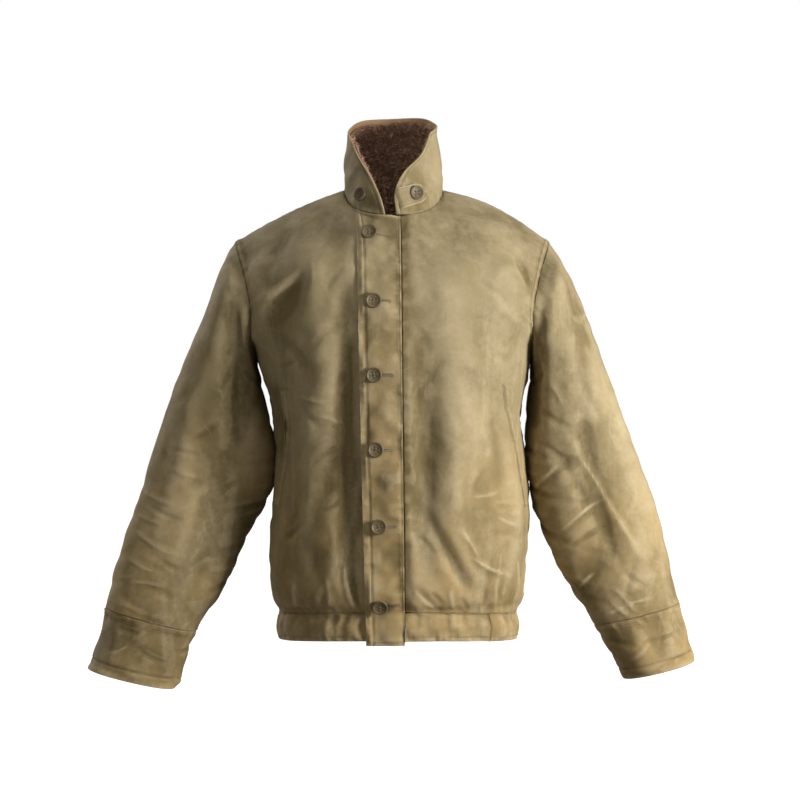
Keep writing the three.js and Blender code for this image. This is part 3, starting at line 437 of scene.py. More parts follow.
SLEEVE_CREASES = {
    1: {
        "front": [
            (245, -352, 338, -508, 3.2, -1.2, -5),
            (197, -418, 231, -378, 3.4, -1.2, -3),
            (228, -478, 293, -425, 3.2, -1.5, -5),
            (238, -500, 300, -462, 4.0, 1.3, -5),
            (256, -552, 279, -527, 3.4, -1.3, -2),
            (293, -560, 350, -600, 3.4, -1.2, 4),
            (300, -545, 338, -592, 3.2, -1.1, -3),
            (286, -590, 358, -560, 3.2, -1.1, -4),
            (310, -520, 352, -548, 3.6, 1.2, 3),
            (204, -300, 250, -330, 5.0, 1.2, 5),
            (205, -345, 246, -372, 4.0, 1.0, 4),
            (262, -260, 300, -330, 6.0, 1.2, 6),
            (240, -180, 285, -236, 7.0, 1.2, -5),
            (212, -262, 236, -306, 5.0, -1.0, -3),
            (286, -400, 330, -470, 5.0, 1.1, 5),
            (336, -622, 400, -604, 3.4, 0.9, 3),
            (322, -650, 352, -622, 3.2, -0.8, 2),
            (352, -662, 392, -640, 3.2, 0.7, 2),
        ],
        "back": [
            (220, -378, 300, -360, 4.0, -1.4, 4),
            (230, -424, 322, -392, 4.0, -1.4, 4),
            (240, -470, 330, -432, 4.0, 1.3, 4),
            (262, -530, 346, -486, 4.0, -1.3, 4),
            (300, -592, 372, -560, 4.0, 1.1, 3),
            (232, -262, 276, -300, 6.0, 1.2, 5),
            (336, -630, 392, -612, 3.4, 0.9, 3),
        ],
    },
    -1: {
        "front": [
            (-346, -414, -296, -436, 3.2, -1.2, 3),
            (-344, -428, -280, -458, 3.4, 1.1, 4),
            (-350, -448, -312, -462, 3.0, -1.0, 2),
            (-354, -470, -284, -506, 3.2, -1.2, 5),
            (-336, -496, -276, -528, 3.4, 1.0, 3),
            (-312, -380, -257, -398, 3.6, -0.9, 3),
            (-364, -506, -320, -526, 3.2, -1.1, 3),
            (-306, -356, -262, -366, 3.6, 0.9, 2),
            (-360, -540, -306, -548, 3.4, -1.0, -3),
            (-368, -575, -330, -590, 3.2, 1.0, 2),
            (-278, -346, -236, -320, 4.5, 0.9, 4),
            (-300, -300, -262, -250, 6.0, 1.0, 5),
            (-250, -420, -208, -400, 4.0, 1.2, 3),
            (-262, -470, -226, -440, 4.0, 1.2, 3),
            (-286, -520, -252, -494, 4.0, 1.1, 3),
            (-320, -350, -290, -396, 6.0, 0.9, 4),
            (-204, -230, -232, -280, 6.0, 1.0, 4),
            (-346, -632, -298, -655, 3.2, 1.0, 2),
            (-392, -640, -356, -622, 3.4, -0.8, 2),
            (-380, -600, -340, -610, 3.2, 0.9, 2),
        ],
        "back": [
            (-290, -352, -214, -380, 4.0, -1.4, 4),
            (-316, -398, -222, -430, 4.0, -1.3, 4),
            (-324, -440, -240, -470, 4.0, 1.2, 4),
            (-344, -490, -262, -530, 4.0, -1.2, 4),
            (-372, -560, -300, -592, 4.0, 1.1, 3),
            (-276, -300, -230, -262, 6.0, 1.1, 5),
            (-392, -612, -330, -640, 3.4, 0.9, 3),
        ],
    },
}

# The piece that each of these sheets rests on.
RESTS_ON = {
    "collar_lining": "collar_cloth",
    "placket": "front_right_cloth",
    "pocket_welt_left": "front_left_cloth",
    "pocket_welt_right": "front_right_cloth",
    "throat_tab": "collar_cloth",
}

# The stage, in metres. The camera looks level along +Y, and the view is this wide at the jacket.
CAMERA_PLACE = (0.011, -2.6, -0.291)
VIEW_WIDTH = 1.12
SENSOR = 36.0
FLOOR_Z = -0.80
FLOOR_RADIUS = 9.0
FLOOR_GLOW = 0.88
AMBIENT = dict(colour=(1.0, 0.94, 0.82, 1.0), strength=0.17)
LIGHT_COLOUR = (1.0, 0.985, 0.95)
LIGHT_AIM = (0.05, 0.0, -0.32)
# Lights: name, kind, place, power, and the size in metres or the sun's angle.
LIGHTS = [
    ("key", "AREA", (1.46, -0.90, -0.14), 47.0, 0.45),
    ("left fill", "AREA", (-1.10, -1.60, -0.30), 4.0, 0.80),
    ("top", "AREA", (0.10, -0.55, 1.25), 6.0, 0.60),
    ("back fill", "SUN", (-1.3, 1.2, 0.6), 1.5, np.radians(30.0)),
]

# Settings a user may change.


class JacketSizes(bpy.types.PropertyGroup):
    """Sizes of the cloth and its sewing."""

    cloth: bpy.props.FloatProperty(
        name="Cloth", description="Thickness of the shell cloth", default=0.0024, unit="LENGTH"
    )
    welt_cloth: bpy.props.FloatProperty(
        name="Welt cloth", description="Thickness of the welts and the tab", default=0.0016, unit="LENGTH"
    )
    pile_wall: bpy.props.FloatProperty(
        name="Pile wall", description="Thickness of the pile's ground", default=0.005, unit="LENGTH"
    )
    stitch: bpy.props.FloatProperty(
        name="Stitch", description="Length of one stitch", default=0.0026, unit="LENGTH"
    )
    stitch_gap: bpy.props.FloatProperty(
        name="Stitch gap", description="Gap between two stitches", default=0.0009, unit="LENGTH"
    )
    thread: bpy.props.FloatProperty(
        name="Thread", description="Thickness of the sewing thread", default=0.0006, unit="LENGTH"
    )
    fibre: bpy.props.FloatProperty(
        name="Pile fibre", description="Length of a fibre of the pile", default=0.0080, unit="LENGTH"
    )
    fibre_density: bpy.props.FloatProperty(
        name="Pile density", description="Fibres on a square metre of the lining", default=230000.0
    )
    crease_depth: bpy.props.FloatProperty(
        name="Crease depth", description="Scale of the fine creases", default=1.3, subtype="FACTOR"
    )
    pucker: bpy.props.FloatProperty(
        name="Pucker", description="Height of the puckers along seams", default=0.00045, unit="LENGTH"
    )


def colour_property(name, description, default):
    return bpy.props.FloatVectorProperty(
        name=name, description=description, default=default, size=3, subtype="COLOR", min=0.0, max=1.0
    )


class JacketColours(bpy.types.PropertyGroup):
    """Colours of the cloth, the pile, the buttons and the thread, linear."""

    cloth: colour_property("Waxed cloth", "Colour of most of the shell", (0.285, 0.228, 0.122))
    # Besides the waxy clouds and specks, this colour paints shade into the troughs of the folds and into the
    # darkened bands.
    cloth_deep: colour_property("Waxy places", "Colour where wax lies thick", (0.138, 0.100, 0.038))
    cloth_worn: colour_property("Worn cloth", "Colour of rubbed crests and edges", (0.430, 0.350, 0.215))
    tan_cloth: colour_property("Tan cloth", "Colour of bands, cuffs and placket", (0.325, 0.228, 0.098))
    facing: colour_property("Facing", "Colour of the strip inside the collar's edge", (0.400, 0.255, 0.140))
    lining: colour_property("Lining", "Colour of the inside of the body", (0.120, 0.090, 0.055))
    pile: colour_property("Pile", "Colour of the pile's tips", (0.720, 0.500, 0.350))
    pile_deep: colour_property("Pile ground", "Colour of the pile's depth", (0.310, 0.180, 0.118))
    button: colour_property("Buttons", "Colour of the buttons", (0.086, 0.062, 0.029))
    thread: colour_property("Thread", "Colour of the sewing thread", (0.330, 0.262, 0.150))
    thread_pale: colour_property("Pale thread", "Colour of the buttonhole thread", (0.260, 0.205, 0.122))
    floor: colour_property("Floor", "Colour of the floor", (0.60, 0.60, 0.60))


def sizes():
    return bpy.context.scene.jacket_sizes


def colours():
    return bpy.context.scene.jacket_colours


def in_mm(key):
    """One of the sizes, in millimetres."""
    return getattr(sizes(), key) * 1000


# The cloth's plain forms, in millimetres.


def smoothstep(x, low, high):
    t = np.clip((x - low) / (high - low), 0, 1)
    return t * t * (3 - 2 * t)


def mix(a, b, t):
    return a + (b - a) * t


def points_of(x, y, z):
    return np.stack(np.broadcast_arrays(x, y, z), -1).astype(float)


def unit(vectors):
    return vectors / np.maximum(np.linalg.norm(vectors, axis=-1, keepdims=True), 1e-12)


def through(ats, values, at):
    """A smooth curve through knots: ats has K places, values is (K, N, 3) and at is (N,)."""
    ats = np.asarray(ats, float)
    last = len(ats) - 1
    k = np.clip(np.searchsorted(ats, at, side="left") - 1, 0, last - 1)
    before, after = np.maximum(k - 1, 0), np.minimum(k + 2, last)
    span = ats[k + 1] - ats[k]
    t = (at - ats[k]) / span
    slope_a = span / (ats[k + 1] - ats[before])
    slope_b = span / (ats[after] - ats[k])
    h0, h1 = 2 * t**3 - 3 * t**2 + 1, t**3 - 2 * t**2 + t
    h2, h3 = 3 * t**2 - 2 * t**3, t**3 - t**2
    n = np.arange(len(at))
    shares = [-h1 * slope_a, h0 - h3 * slope_b, h2 + h1 * slope_a, h3 * slope_b]
    return sum(values[i, n] * share[:, None] for i, share in zip((before, k, k + 1, after), shares))


def squared(angle, power):
    s, c = np.sin(angle), np.cos(angle)
    r = (np.abs(s) ** power + np.abs(c) ** power) ** (-1 / power)
    return r * s, r * c


def neckline_point(around):
    """around is in degrees about the neck from the centre back, positive towards the wearer's left."""
    angle = np.radians(around)
    cosine = np.cos(angle)
    depth = np.where(cosine > 0, NECK["back"], NECK["front"])
    end_z = np.where(cosine > 0, NECK["back_z"], NECK["front_z"])
    z = mix(end_z, NECK["side_z"], np.clip(1 - np.abs(cosine), 0, 1) ** NECK["rise"])
    return points_of(NECK["middle_x"] + NECK["half"] * np.sin(angle), depth * cosine, z)


def top_seam_point(u, face):
    side, share = np.where(u < 0, -1.0, 1.0), np.abs(u)
    quarter = 90 * share / NECK_SHARE
    on_neck = neckline_point(side * (180 - quarter if face == "front" else quarter))
    t = (share - NECK_SHARE) / (1 - NECK_SHARE)
    lift = np.where(side > 0, SHOULDER["lift_left"], SHOULDER["lift_right"]) * np.sin(np.pi * t)
    from_x = NECK["middle_x"] + side * NECK["half"]
    z = mix(NECK["side_z"], SHOULDER["tip_z"], t) + lift
    on_shoulder = points_of(mix(from_x, side * SHOULDER["tip_x"], t), SHOULDER["tip_y"] * t, z)
    return np.where((share <= NECK_SHARE)[:, None], on_neck, on_shoulder)


def ring_point(ring, u, face):
    _, front_z, side_z, back_z, half, shift, front, back = ring
    s, c = squared(np.radians(90 * u), SQUARENESS)
    depth, end_z = (-front, front_z) if face == "front" else (back, back_z)
    return points_of(shift + half * s, depth * c, mix(side_z, end_z, c * c))


def yoke_point(row, u):
    _, centre_y, centre_z, edge_x, edge_y, edge_z, turn = row
    s, c = squared(np.radians(turn * u), SQUARENESS)
    s_edge, c_edge = squared(np.radians(turn), SQUARENESS)
    out = (1 - c) / (1 - c_edge)
    return points_of(edge_x * s / s_edge, mix(centre_y, edge_y, out), mix(centre_z, edge_z, u * u))


def plain_body(u, at, face):
    """The body without folds, for flat arrays of columns u and places at up the cloth."""
    u, at = np.broadcast_arrays(np.asarray(u, float), np.asarray(at, float))
    shape, u, at = u.shape, u.ravel(), at.ravel()
    other = "back" if face == "front" else "front"
    yoke = YOKE_ROWS[face]
    knots = [ring_point(ring, u, face) for ring in BODY_RINGS] + [yoke_point(row, u) for row in yoke]
    above = len(BODY_RINGS)
    share = np.where(at < ARMPIT_AT, 0.5 * np.abs(u) ** 6, 0)[:, None]
    knots[above] = mix(knots[above], yoke_point(YOKE_ROWS[other][0], u), share)
    top = top_seam_point(u, face)
    onward = 2 * top - yoke_point(yoke[-1], u)
    over_shoulder = smoothstep(np.abs(u), 0.12, NECK_SHARE + 0.1)[:, None]
    knots += [top, mix(onward, yoke_point(YOKE_ROWS[other][-1], u), over_shoulder)]
    ats = [row[0] for row in BODY_RINGS + yoke] + [TOP_AT, 2 * TOP_AT - yoke[-1][0]]
    return through(ats, np.array(knots), at).reshape(*shape, 3)


def plain_normal(u, at, face):
    across = plain_body(u + 0.004, at, face) - plain_body(u - 0.004, at, face)
    up = plain_body(u, at + 1, face) - plain_body(u, at - 1, face)
    return unit(np.cross(across, up)) * (1 if face == "front" else -1)


def fold_height(folds, x, z):
    height = np.zeros(np.shape(x))
    for x0, z0, x1, z1, wide, deep in folds:
        dx, dz = x1 - x0, z1 - z0
        along = np.clip(((x - x0) * dx + (z - z0) * dz) / (dx * dx + dz * dz), 0, 1)
        off = np.hypot(x - x0 - along * dx, z - z0 - along * dz)
        height -= deep * (0.55 + 0.45 * np.sin(np.pi * along)) * np.exp(-((off / wide) ** 2))
    return height


def crease_height(creases, x, z):
    """Creases with bowed middles and narrow crests, which die out at both ends."""
    height = np.zeros(np.shape(x))
    for x0, z0, x1, z1, wide, deep, bow in creases:
        length = np.hypot(x1 - x0, z1 - z0)
        dx, dz = (x1 - x0) / length, (z1 - z0) / length
        along = ((x - x0) * dx + (z - z0) * dz) / length
        on = np.clip(along, 0, 1)
        side = (x - x0) * dz - (z - z0) * dx - bow * 4 * on * (1 - on)
        off = np.hypot(side, (along - on) * length) / wide
        fade = smoothstep(along, -0.05, 0.3) * smoothstep(1 - along, -0.05, 0.35)
        height -= deep * fade * (1.25 * np.exp(-(off**1.6)) - 0.35 * np.exp(-((off / 2.3) ** 2)))
    return height


def by_facing(normal, tables, measure, x, z):
    """Folds belong to the side of the cloth that faces their way, and fade where the cloth turns away."""
    facing = smoothstep(np.abs(normal[..., 1]), 0.05, 0.4)
    front = measure(tables["front"], x, z)
    back = measure(tables["back"], x, z)
    return np.where(normal[..., 1] < 0, front, back) * facing


def folded(plain, normal, tables, fade):
    height = by_facing(normal, tables, fold_height, plain[..., 0], plain[..., 2]) * fade
    return plain + normal * height[..., None]


def body_point(u, at, face):
    fade = smoothstep(1 - np.abs(u), 0, 0.12) * smoothstep(TOP_AT - at, 0, 35)
    return folded(plain_body(u, at, face), plain_normal(u, at, face), FOLDS, fade)


def column_at(x, at):
    """The column at which a row of the front crosses a given x."""
    x, at = np.broadcast_arrays(np.asarray(x, float), np.asarray(at, float))
    low, high = np.full(at.shape, -0.98), np.full(at.shape, 0.98)
    for _ in range(30):
        middle = (low + high) / 2
        below = plain_body(middle, at, "front")[..., 0] < x
        low, high = np.where(below, middle, low), np.where(below, high, middle)
    return (low + high) / 2


def placket_x(at, hem, top):
    return mix(PLACKET[hem], PLACKET[top], np.clip((at - HEM_AT) / (TOP_AT - HEM_AT), 0, 1))


def left_front_point(u, at, face="front"):
    p = body_point(u, at, face)
    beyond = p[..., 0] - placket_x(at, "seam_hem", "seam_top")
    out = PLACKET["step"] * (1 - smoothstep(beyond, 0, PLACKET["roll"]))
    return p + plain_normal(u, at, face) * (out * smoothstep(TOP_AT - at, 0, 60))[..., None]


def armhole_point(side, share):
    at = mix(ARMPIT_AT, TOP_AT, 1 - np.abs(2 * share - 1))
    u = np.full(np.shape(share), float(side))
    front = (share <= 0.5)[..., None]
    return np.where(front, body_point(u, at, "front"), body_point(u, at, "back"))


def plain_sleeve(side, share, run):
    share, run = np.broadcast_arrays(np.asarray(share, float), np.asarray(run, float))
    shape, share, run = share.shape, share.ravel(), run.ravel()
    knots = [armhole_point(side, share % 1.0)]
    s, c = squared(2 * np.pi * share, SLEEVE_SQUARENESS)
    across = (1 - c) / 2
    for _, inner_x, inner_z, outer_x, outer_z, mid_y, depth in SLEEVE_ROWS[side]:
        x, z = side * mix(inner_x, outer_x, across), mix(inner_z, outer_z, across)
        knots.append(points_of(x, mid_y - depth * s, z))
    ats = [0] + [row[0] for row in SLEEVE_ROWS[side]]
    return through(ats, np.array(knots), run).reshape(*shape, 3)


def sleeve_point(side, share, run):
    plain = plain_sleeve(side, share, run)
    about = plain_sleeve(side, share + 0.004, run) - plain_sleeve(side, share - 0.004, run)
    down = plain_sleeve(side, share, run + 1) - plain_sleeve(side, share, np.maximum(run - 1, 0))
    normal = unit(np.cross(about, down)) * -side
    return folded(plain, normal, SLEEVE_FOLDS[side], smoothstep(run, 0, 30))


def collar_point(around, up):
    around, up = np.broadcast_arrays(np.asarray(around, float), np.asarray(up, float))
    shape, around, up = around.shape, around.ravel(), up.ravel()
    repeat = lambda rows: np.repeat(np.array([row[1:] for row in rows], float)[:, None], len(up), 1)
    top_ats, top = [row[0] for row in COLLAR_TOP], repeat(COLLAR_TOP)
    ruled = mix(neckline_point(around), through(top_ats, top, around), up[:, None])
    shift = np.zeros_like(ruled)
    for side in (-1, 1):
        limit = np.full(len(up), side * float(COLLAR_TOP[-1][0]))
        ats, values = [row[0] for row in COLLAR_EDGES[side]], repeat(COLLAR_EDGES[side])
        foot, head = neckline_point(limit), through(top_ats, top, limit)
        at_height = through(ats, values, up) - mix(foot, head, up[:, None])
        at_foot = through(ats, values, np.zeros(len(up))) - foot
        own = ((around > 0) == (side > 0))[:, None]
        shift = np.where(own, at_height + at_foot * (up - 1)[:, None], shift)
    reach = COLLAR_TOP[-1][0]
    near_edge = smoothstep(np.abs(around), reach - EDGE_REACH, reach)
    bow = COLLAR_BOW * np.sin(np.pi * up) * (1 - near_edge)
    outward = points_of(np.sin(np.radians(around)), np.cos(np.radians(around)), 0)
    return (ruled + shift * near_edge[:, None] + outward * bow[:, None]).reshape(*shape, 3)


def find_on_front(x, z):
    """Where the front has a given x and z, as a column and a place up the cloth."""
    low, high = float(HEM_AT), float(TOP_AT)
    for _ in range(30):
        middle = (low + high) / 2
        if plain_body(column_at(x, middle), middle, "front")[2] < z:
            low = middle
        else:
            high = middle
    return float(column_at(x, low)), low


def find_on_collar(x, z, around, up, rounds=30):
    """The degrees and the share of height at which the collar has a given x and z, from a first guess."""
    for _ in range(rounds):
        p = collar_point(around, up)
        by_around = (collar_point(around + 0.5, up) - p) / 0.5
        by_up = (collar_point(around, up + 0.01) - p) / 0.01
        a, b, c, d = by_around[..., 0], by_up[..., 0], by_around[..., 2], by_up[..., 2]
        miss_x, miss_z = x - p[..., 0], z - p[..., 2]
        det = a * d - b * c
        around = around + np.clip((miss_x * d - miss_z * b) / det, -12, 12)
        up = np.clip(up + np.clip((miss_z * a - miss_x * c) / det, -0.2, 0.2), 0, 1)
    return around, up


# Cloth as fine grids.

EDGE_STEPS = [0, 0.25, 0.6, 1.1, 1.8, 2.6, 3.5, 4.5, 5.6, 6.7, 7.8, 9.0, 10.3, 11.8]


def graded(length, step, fine_start=True, fine_end=True):
    """Shares from 0 to 1 of a length, in even steps that get finer near a seam or an edge."""
    start = EDGE_STEPS if fine_start else [0]
    end = EDGE_STEPS if fine_end else [0]
    middle = length - start[-1] - end[-1]
    count = max(2, int(round(middle / step)))
    inner = start[-1] + middle * np.arange(1, count) / count
    return np.array([*start, *inner, *[length - e for e in reversed(end)]]) / length


class Cloth:
    """A grid of points in millimetres, with its outward normals and the distances from its four edges."""

    def __init__(self, points, outward, wrap=False):
        self.points, self.wrap = points, wrap
        rows, columns = points.shape[:2]
        if wrap:
            closed = np.concatenate([points[:, -1:], points, points[:, :1]], 1)
            across = closed[:, 2:] - closed[:, :-2]
        else:
            across = np.gradient(points, axis=1)
        along = np.gradient(points, axis=0)
        self.normals = unit(np.cross(across, along)) * outward
        loop = np.concatenate([points, points[:, :1]], 1) if wrap else points
        steps = np.linalg.norm(np.diff(loop, axis=1), axis=-1)
        self.widths = np.concatenate([np.zeros((rows, 1)), np.cumsum(steps, 1)], 1)
        self.left = self.widths[:, :columns]
        self.right = self.widths[:, -1:] - self.left
        lengths = np.linalg.norm(np.diff(points, axis=0), axis=-1)
        self.low = np.concatenate([np.zeros((1, columns)), np.cumsum(lengths, 0)], 0)
        self.top = self.low[-1:] - self.low
        self.height = np.zeros((rows, columns))
        self.marks = np.zeros((rows, columns))
        self.rise = np.zeros((rows, columns))
        # A fall that only darkens the cloth: bands along seams and rows, and painted shade at the body's
        # sides, under the arms and beside the placket.
        self.darkening = np.zeros((rows, columns))
        self.surface = points

    def settle(self, out=0.0):
        """Fixes the outside once its heights are known."""
        self.surface = self.points + self.normals * (out + self.height)[..., None]
        return self

    def crimp(self, edge, seed, reach, spacing=5.5, scale=1.0):
        """Puckers the cloth along one of its edges."""
        along = self.left if edge in ("low", "top") else self.low
        self.height += puckers(getattr(self, edge), along, seed, reach, spacing) * scale

    def groove(self, edge, row, deep=0.4, wide=0.9):
        """Draws the cloth in along a stitched row beside one of its edges."""
        self.height += groove(getattr(self, edge), row, deep, wide)

    def darken_row(self, edge, seed, row=0.0, wide=2.4, deep=3.5):
        """Darkens a row beside one of the edges."""
        along = self.left if edge in ("low", "top") else self.low
        self.darkening += darkened_band(getattr(self, edge), along, seed, row, wide, deep)


def waves(points, size, seed, count=28, stretch=(1, 1, 1)):
    """Smooth irregular undulation from -1 to 1 or so, with bumps of about the given size."""
    rng = np.random.default_rng(seed)
    directions = unit(rng.normal(size=(count, 3))) * np.array(stretch)
    lengths = size * rng.uniform(1.6, 3.2, count)
    phases = rng.uniform(0, 2 * np.pi, count)
    total = np.zeros(points.shape[:-1])
    for direction, length, phase in zip(directions, lengths, phases):
        total += np.sin(points @ direction * (2 * np.pi / length) + phase)
    return total / np.sqrt(count)


def ripple(along, spacing, seed):
    """Uneven ripples along a seam, from 0 to 1."""
    rng = np.random.default_rng(seed)
    heights = rng.uniform(0, 1, 400)
    place = np.abs(along) / spacing
    k = np.floor(place).astype(int) % 398
    t = smoothstep(place - np.floor(place), 0, 1)
    return mix(heights[k], heights[k + 1], t)


def rounded_edge(distance, radius):
    inside = np.clip(distance, 0, radius)
    return np.sqrt(np.maximum(radius**2 - (radius - inside) ** 2, 0)) - radius


def groove(distance, row, deep, wide=0.9):
    return -deep * np.exp(-(((distance - row) / wide) ** 2))


def puckers(distance, along, seed, reach, spacing):
    height = in_mm("pucker") * 2
    wave = ripple(along, spacing, seed) - 0.5
    slow = ripple(along, spacing * 3.1, seed + 1) - 0.3
    return height * (wave + 0.6 * slow) * np.exp(-((distance / reach) ** 2)) * smoothstep(distance, 0, 1.5)


def felled(distance, width, high):
    """The doubled cloth beside a flat-felled seam."""
    return high * smoothstep(distance, 0.2, 1.4) * smoothstep(width + 1.6 - distance, 0, 1.8)


def darkened_band(distance, along, seed, row, wide, deep):
    """A darker band beside a seam or a stitched row, uneven along it, told as a fall of the cloth."""
    return -deep * np.exp(-(((distance - row) / wide) ** 2)) * (0.35 + 0.65 * ripple(along, 9.0, seed))


def crumpled(points, size, seed, run=(1, 1, 1), wide=0.4):
    """Narrow wandering crests, from 0 to 1, that come and go in patches and lie across the given run."""
    line = np.clip(1 - np.abs(waves(points, size, seed, stretch=run)) / wide, 0, 1) ** 2
    return line * smoothstep(waves(points, size * 1.4, seed + 5), 0.4, 1.3)


def loose(points, normals, folds, soft, creases, seed, lively=0.8, run=(1, 1, 0.5)):
    """Soft folds, listed creases, a broad unevenness and crumple at the given points.

    Gives the height they add, the part of it that wears pale, and the whole rise, whose troughs are painted
    darker as painted shade and whose crests are paled as wear.
    """
    place = points[..., 0], points[..., 2]
    packed = by_facing(normals, folds, fold_height, *place)
    added = by_facing(normals, soft, fold_height, *place)
    fine = by_facing(normals, creases, crease_height, *place) * sizes().crease_depth
    broad = 2.1 * waves(points, 36, seed, stretch=(1, 1, 0.45)) + 0.6 * lively * waves(points, 15, seed + 1)
    crests = 0.9 * crumpled(points, 30, seed + 2, run) + 0.4 * crumpled(points, 17, seed + 3, run, 0.5)
    worn = fine + lively * crests
    return added + broad + worn, worn, packed + added + broad + worn + fine * 0.5


def crease_cloth(cloth, folds, soft, creases, fade, seed, **how):
    height, worn, rise = loose(cloth.points, cloth.normals, folds, soft, creases, seed, **how)
    cloth.height += height * fade
    cloth.marks += worn * fade
    cloth.rise += rise * fade


def ring_height(rings, share, run):
    height = np.zeros(share.shape)
    for at_share, at_run, reach, wide, deep, slant in rings:
        off = (share - at_share + 0.5) % 1 - 0.5
        height -= deep * np.exp(-((off / reach) ** 2) - ((run - at_run - slant * off) / wide) ** 2)
    return height


def side_ring_height(u, at):
    height = np.zeros(u.shape)
    for side, place, reach, wide, deep in SIDE_RINGS:
        height -= deep * np.exp(-(((u - side) / reach) ** 2) - ((at - place) / wide) ** 2)
    return height


# Meshes.


def new_object(name, mesh):
    obj = bpy.data.objects.new(name, mesh)
    bpy.context.scene.collection.objects.link(obj)
    return obj


def mesh_from(name, vertices, faces):
    """A smooth mesh: vertices in millimetres, faces as tuples of their numbers."""
    mesh = bpy.data.meshes.new(name)
    mesh.from_pydata((np.asarray(vertices) * MM).tolist(), [], faces)
    mesh.polygons.foreach_set("use_smooth", [True] * len(mesh.polygons))
    mesh.update()
    return mesh


def mesh_of(bm, name):
    """Turns an edited mesh into a smooth plain one."""
    mesh = bpy.data.meshes.new(name)
    bm.to_mesh(mesh)
    bm.free()
    mesh.polygons.foreach_set("use_smooth", [True] * len(mesh.polygons))
    return mesh


def picks(count, step, closed=False):
    """Every so many rows or columns of a grid, with the last one where the grid isn't closed."""
    return list(range(0, count, step)) if closed else sorted({*range(0, count - 1, step), count - 1})


def quads(index, uv):
    """The faces of a grid of vertex numbers, with the UV of each of their corners."""
    corners = [index[:-1, :-1], index[:-1, 1:], index[1:, 1:], index[1:, :-1]]
    uv_corners = [uv[:-1, :-1], uv[:-1, 1:], uv[1:, 1:], uv[1:, :-1]]
    return np.stack(corners, -1).reshape(-1, 4), np.stack(uv_corners, 2).reshape(-1, 4, 2)


def rim(outside, inside, at, turn):
    """Faces between a fine outer edge and a coarser inner one, whose vertices lie at places of the outer."""
    faces = []
    for j in range(len(at) - 1):
        ring = [int(outside[k]) for k in range(at[j], at[j + 1] + 1)]
        here, there = int(inside[j]), int(inside[j + 1])
        split = len(ring) // 2
        if len(ring) > 2:
            parts = [ring[: split + 1] + [here], ring[split:] + [there, here]]
        else:
            parts = [ring + [there, here]]
        faces += [part[::-1] if turn else part for part in parts]
    return faces


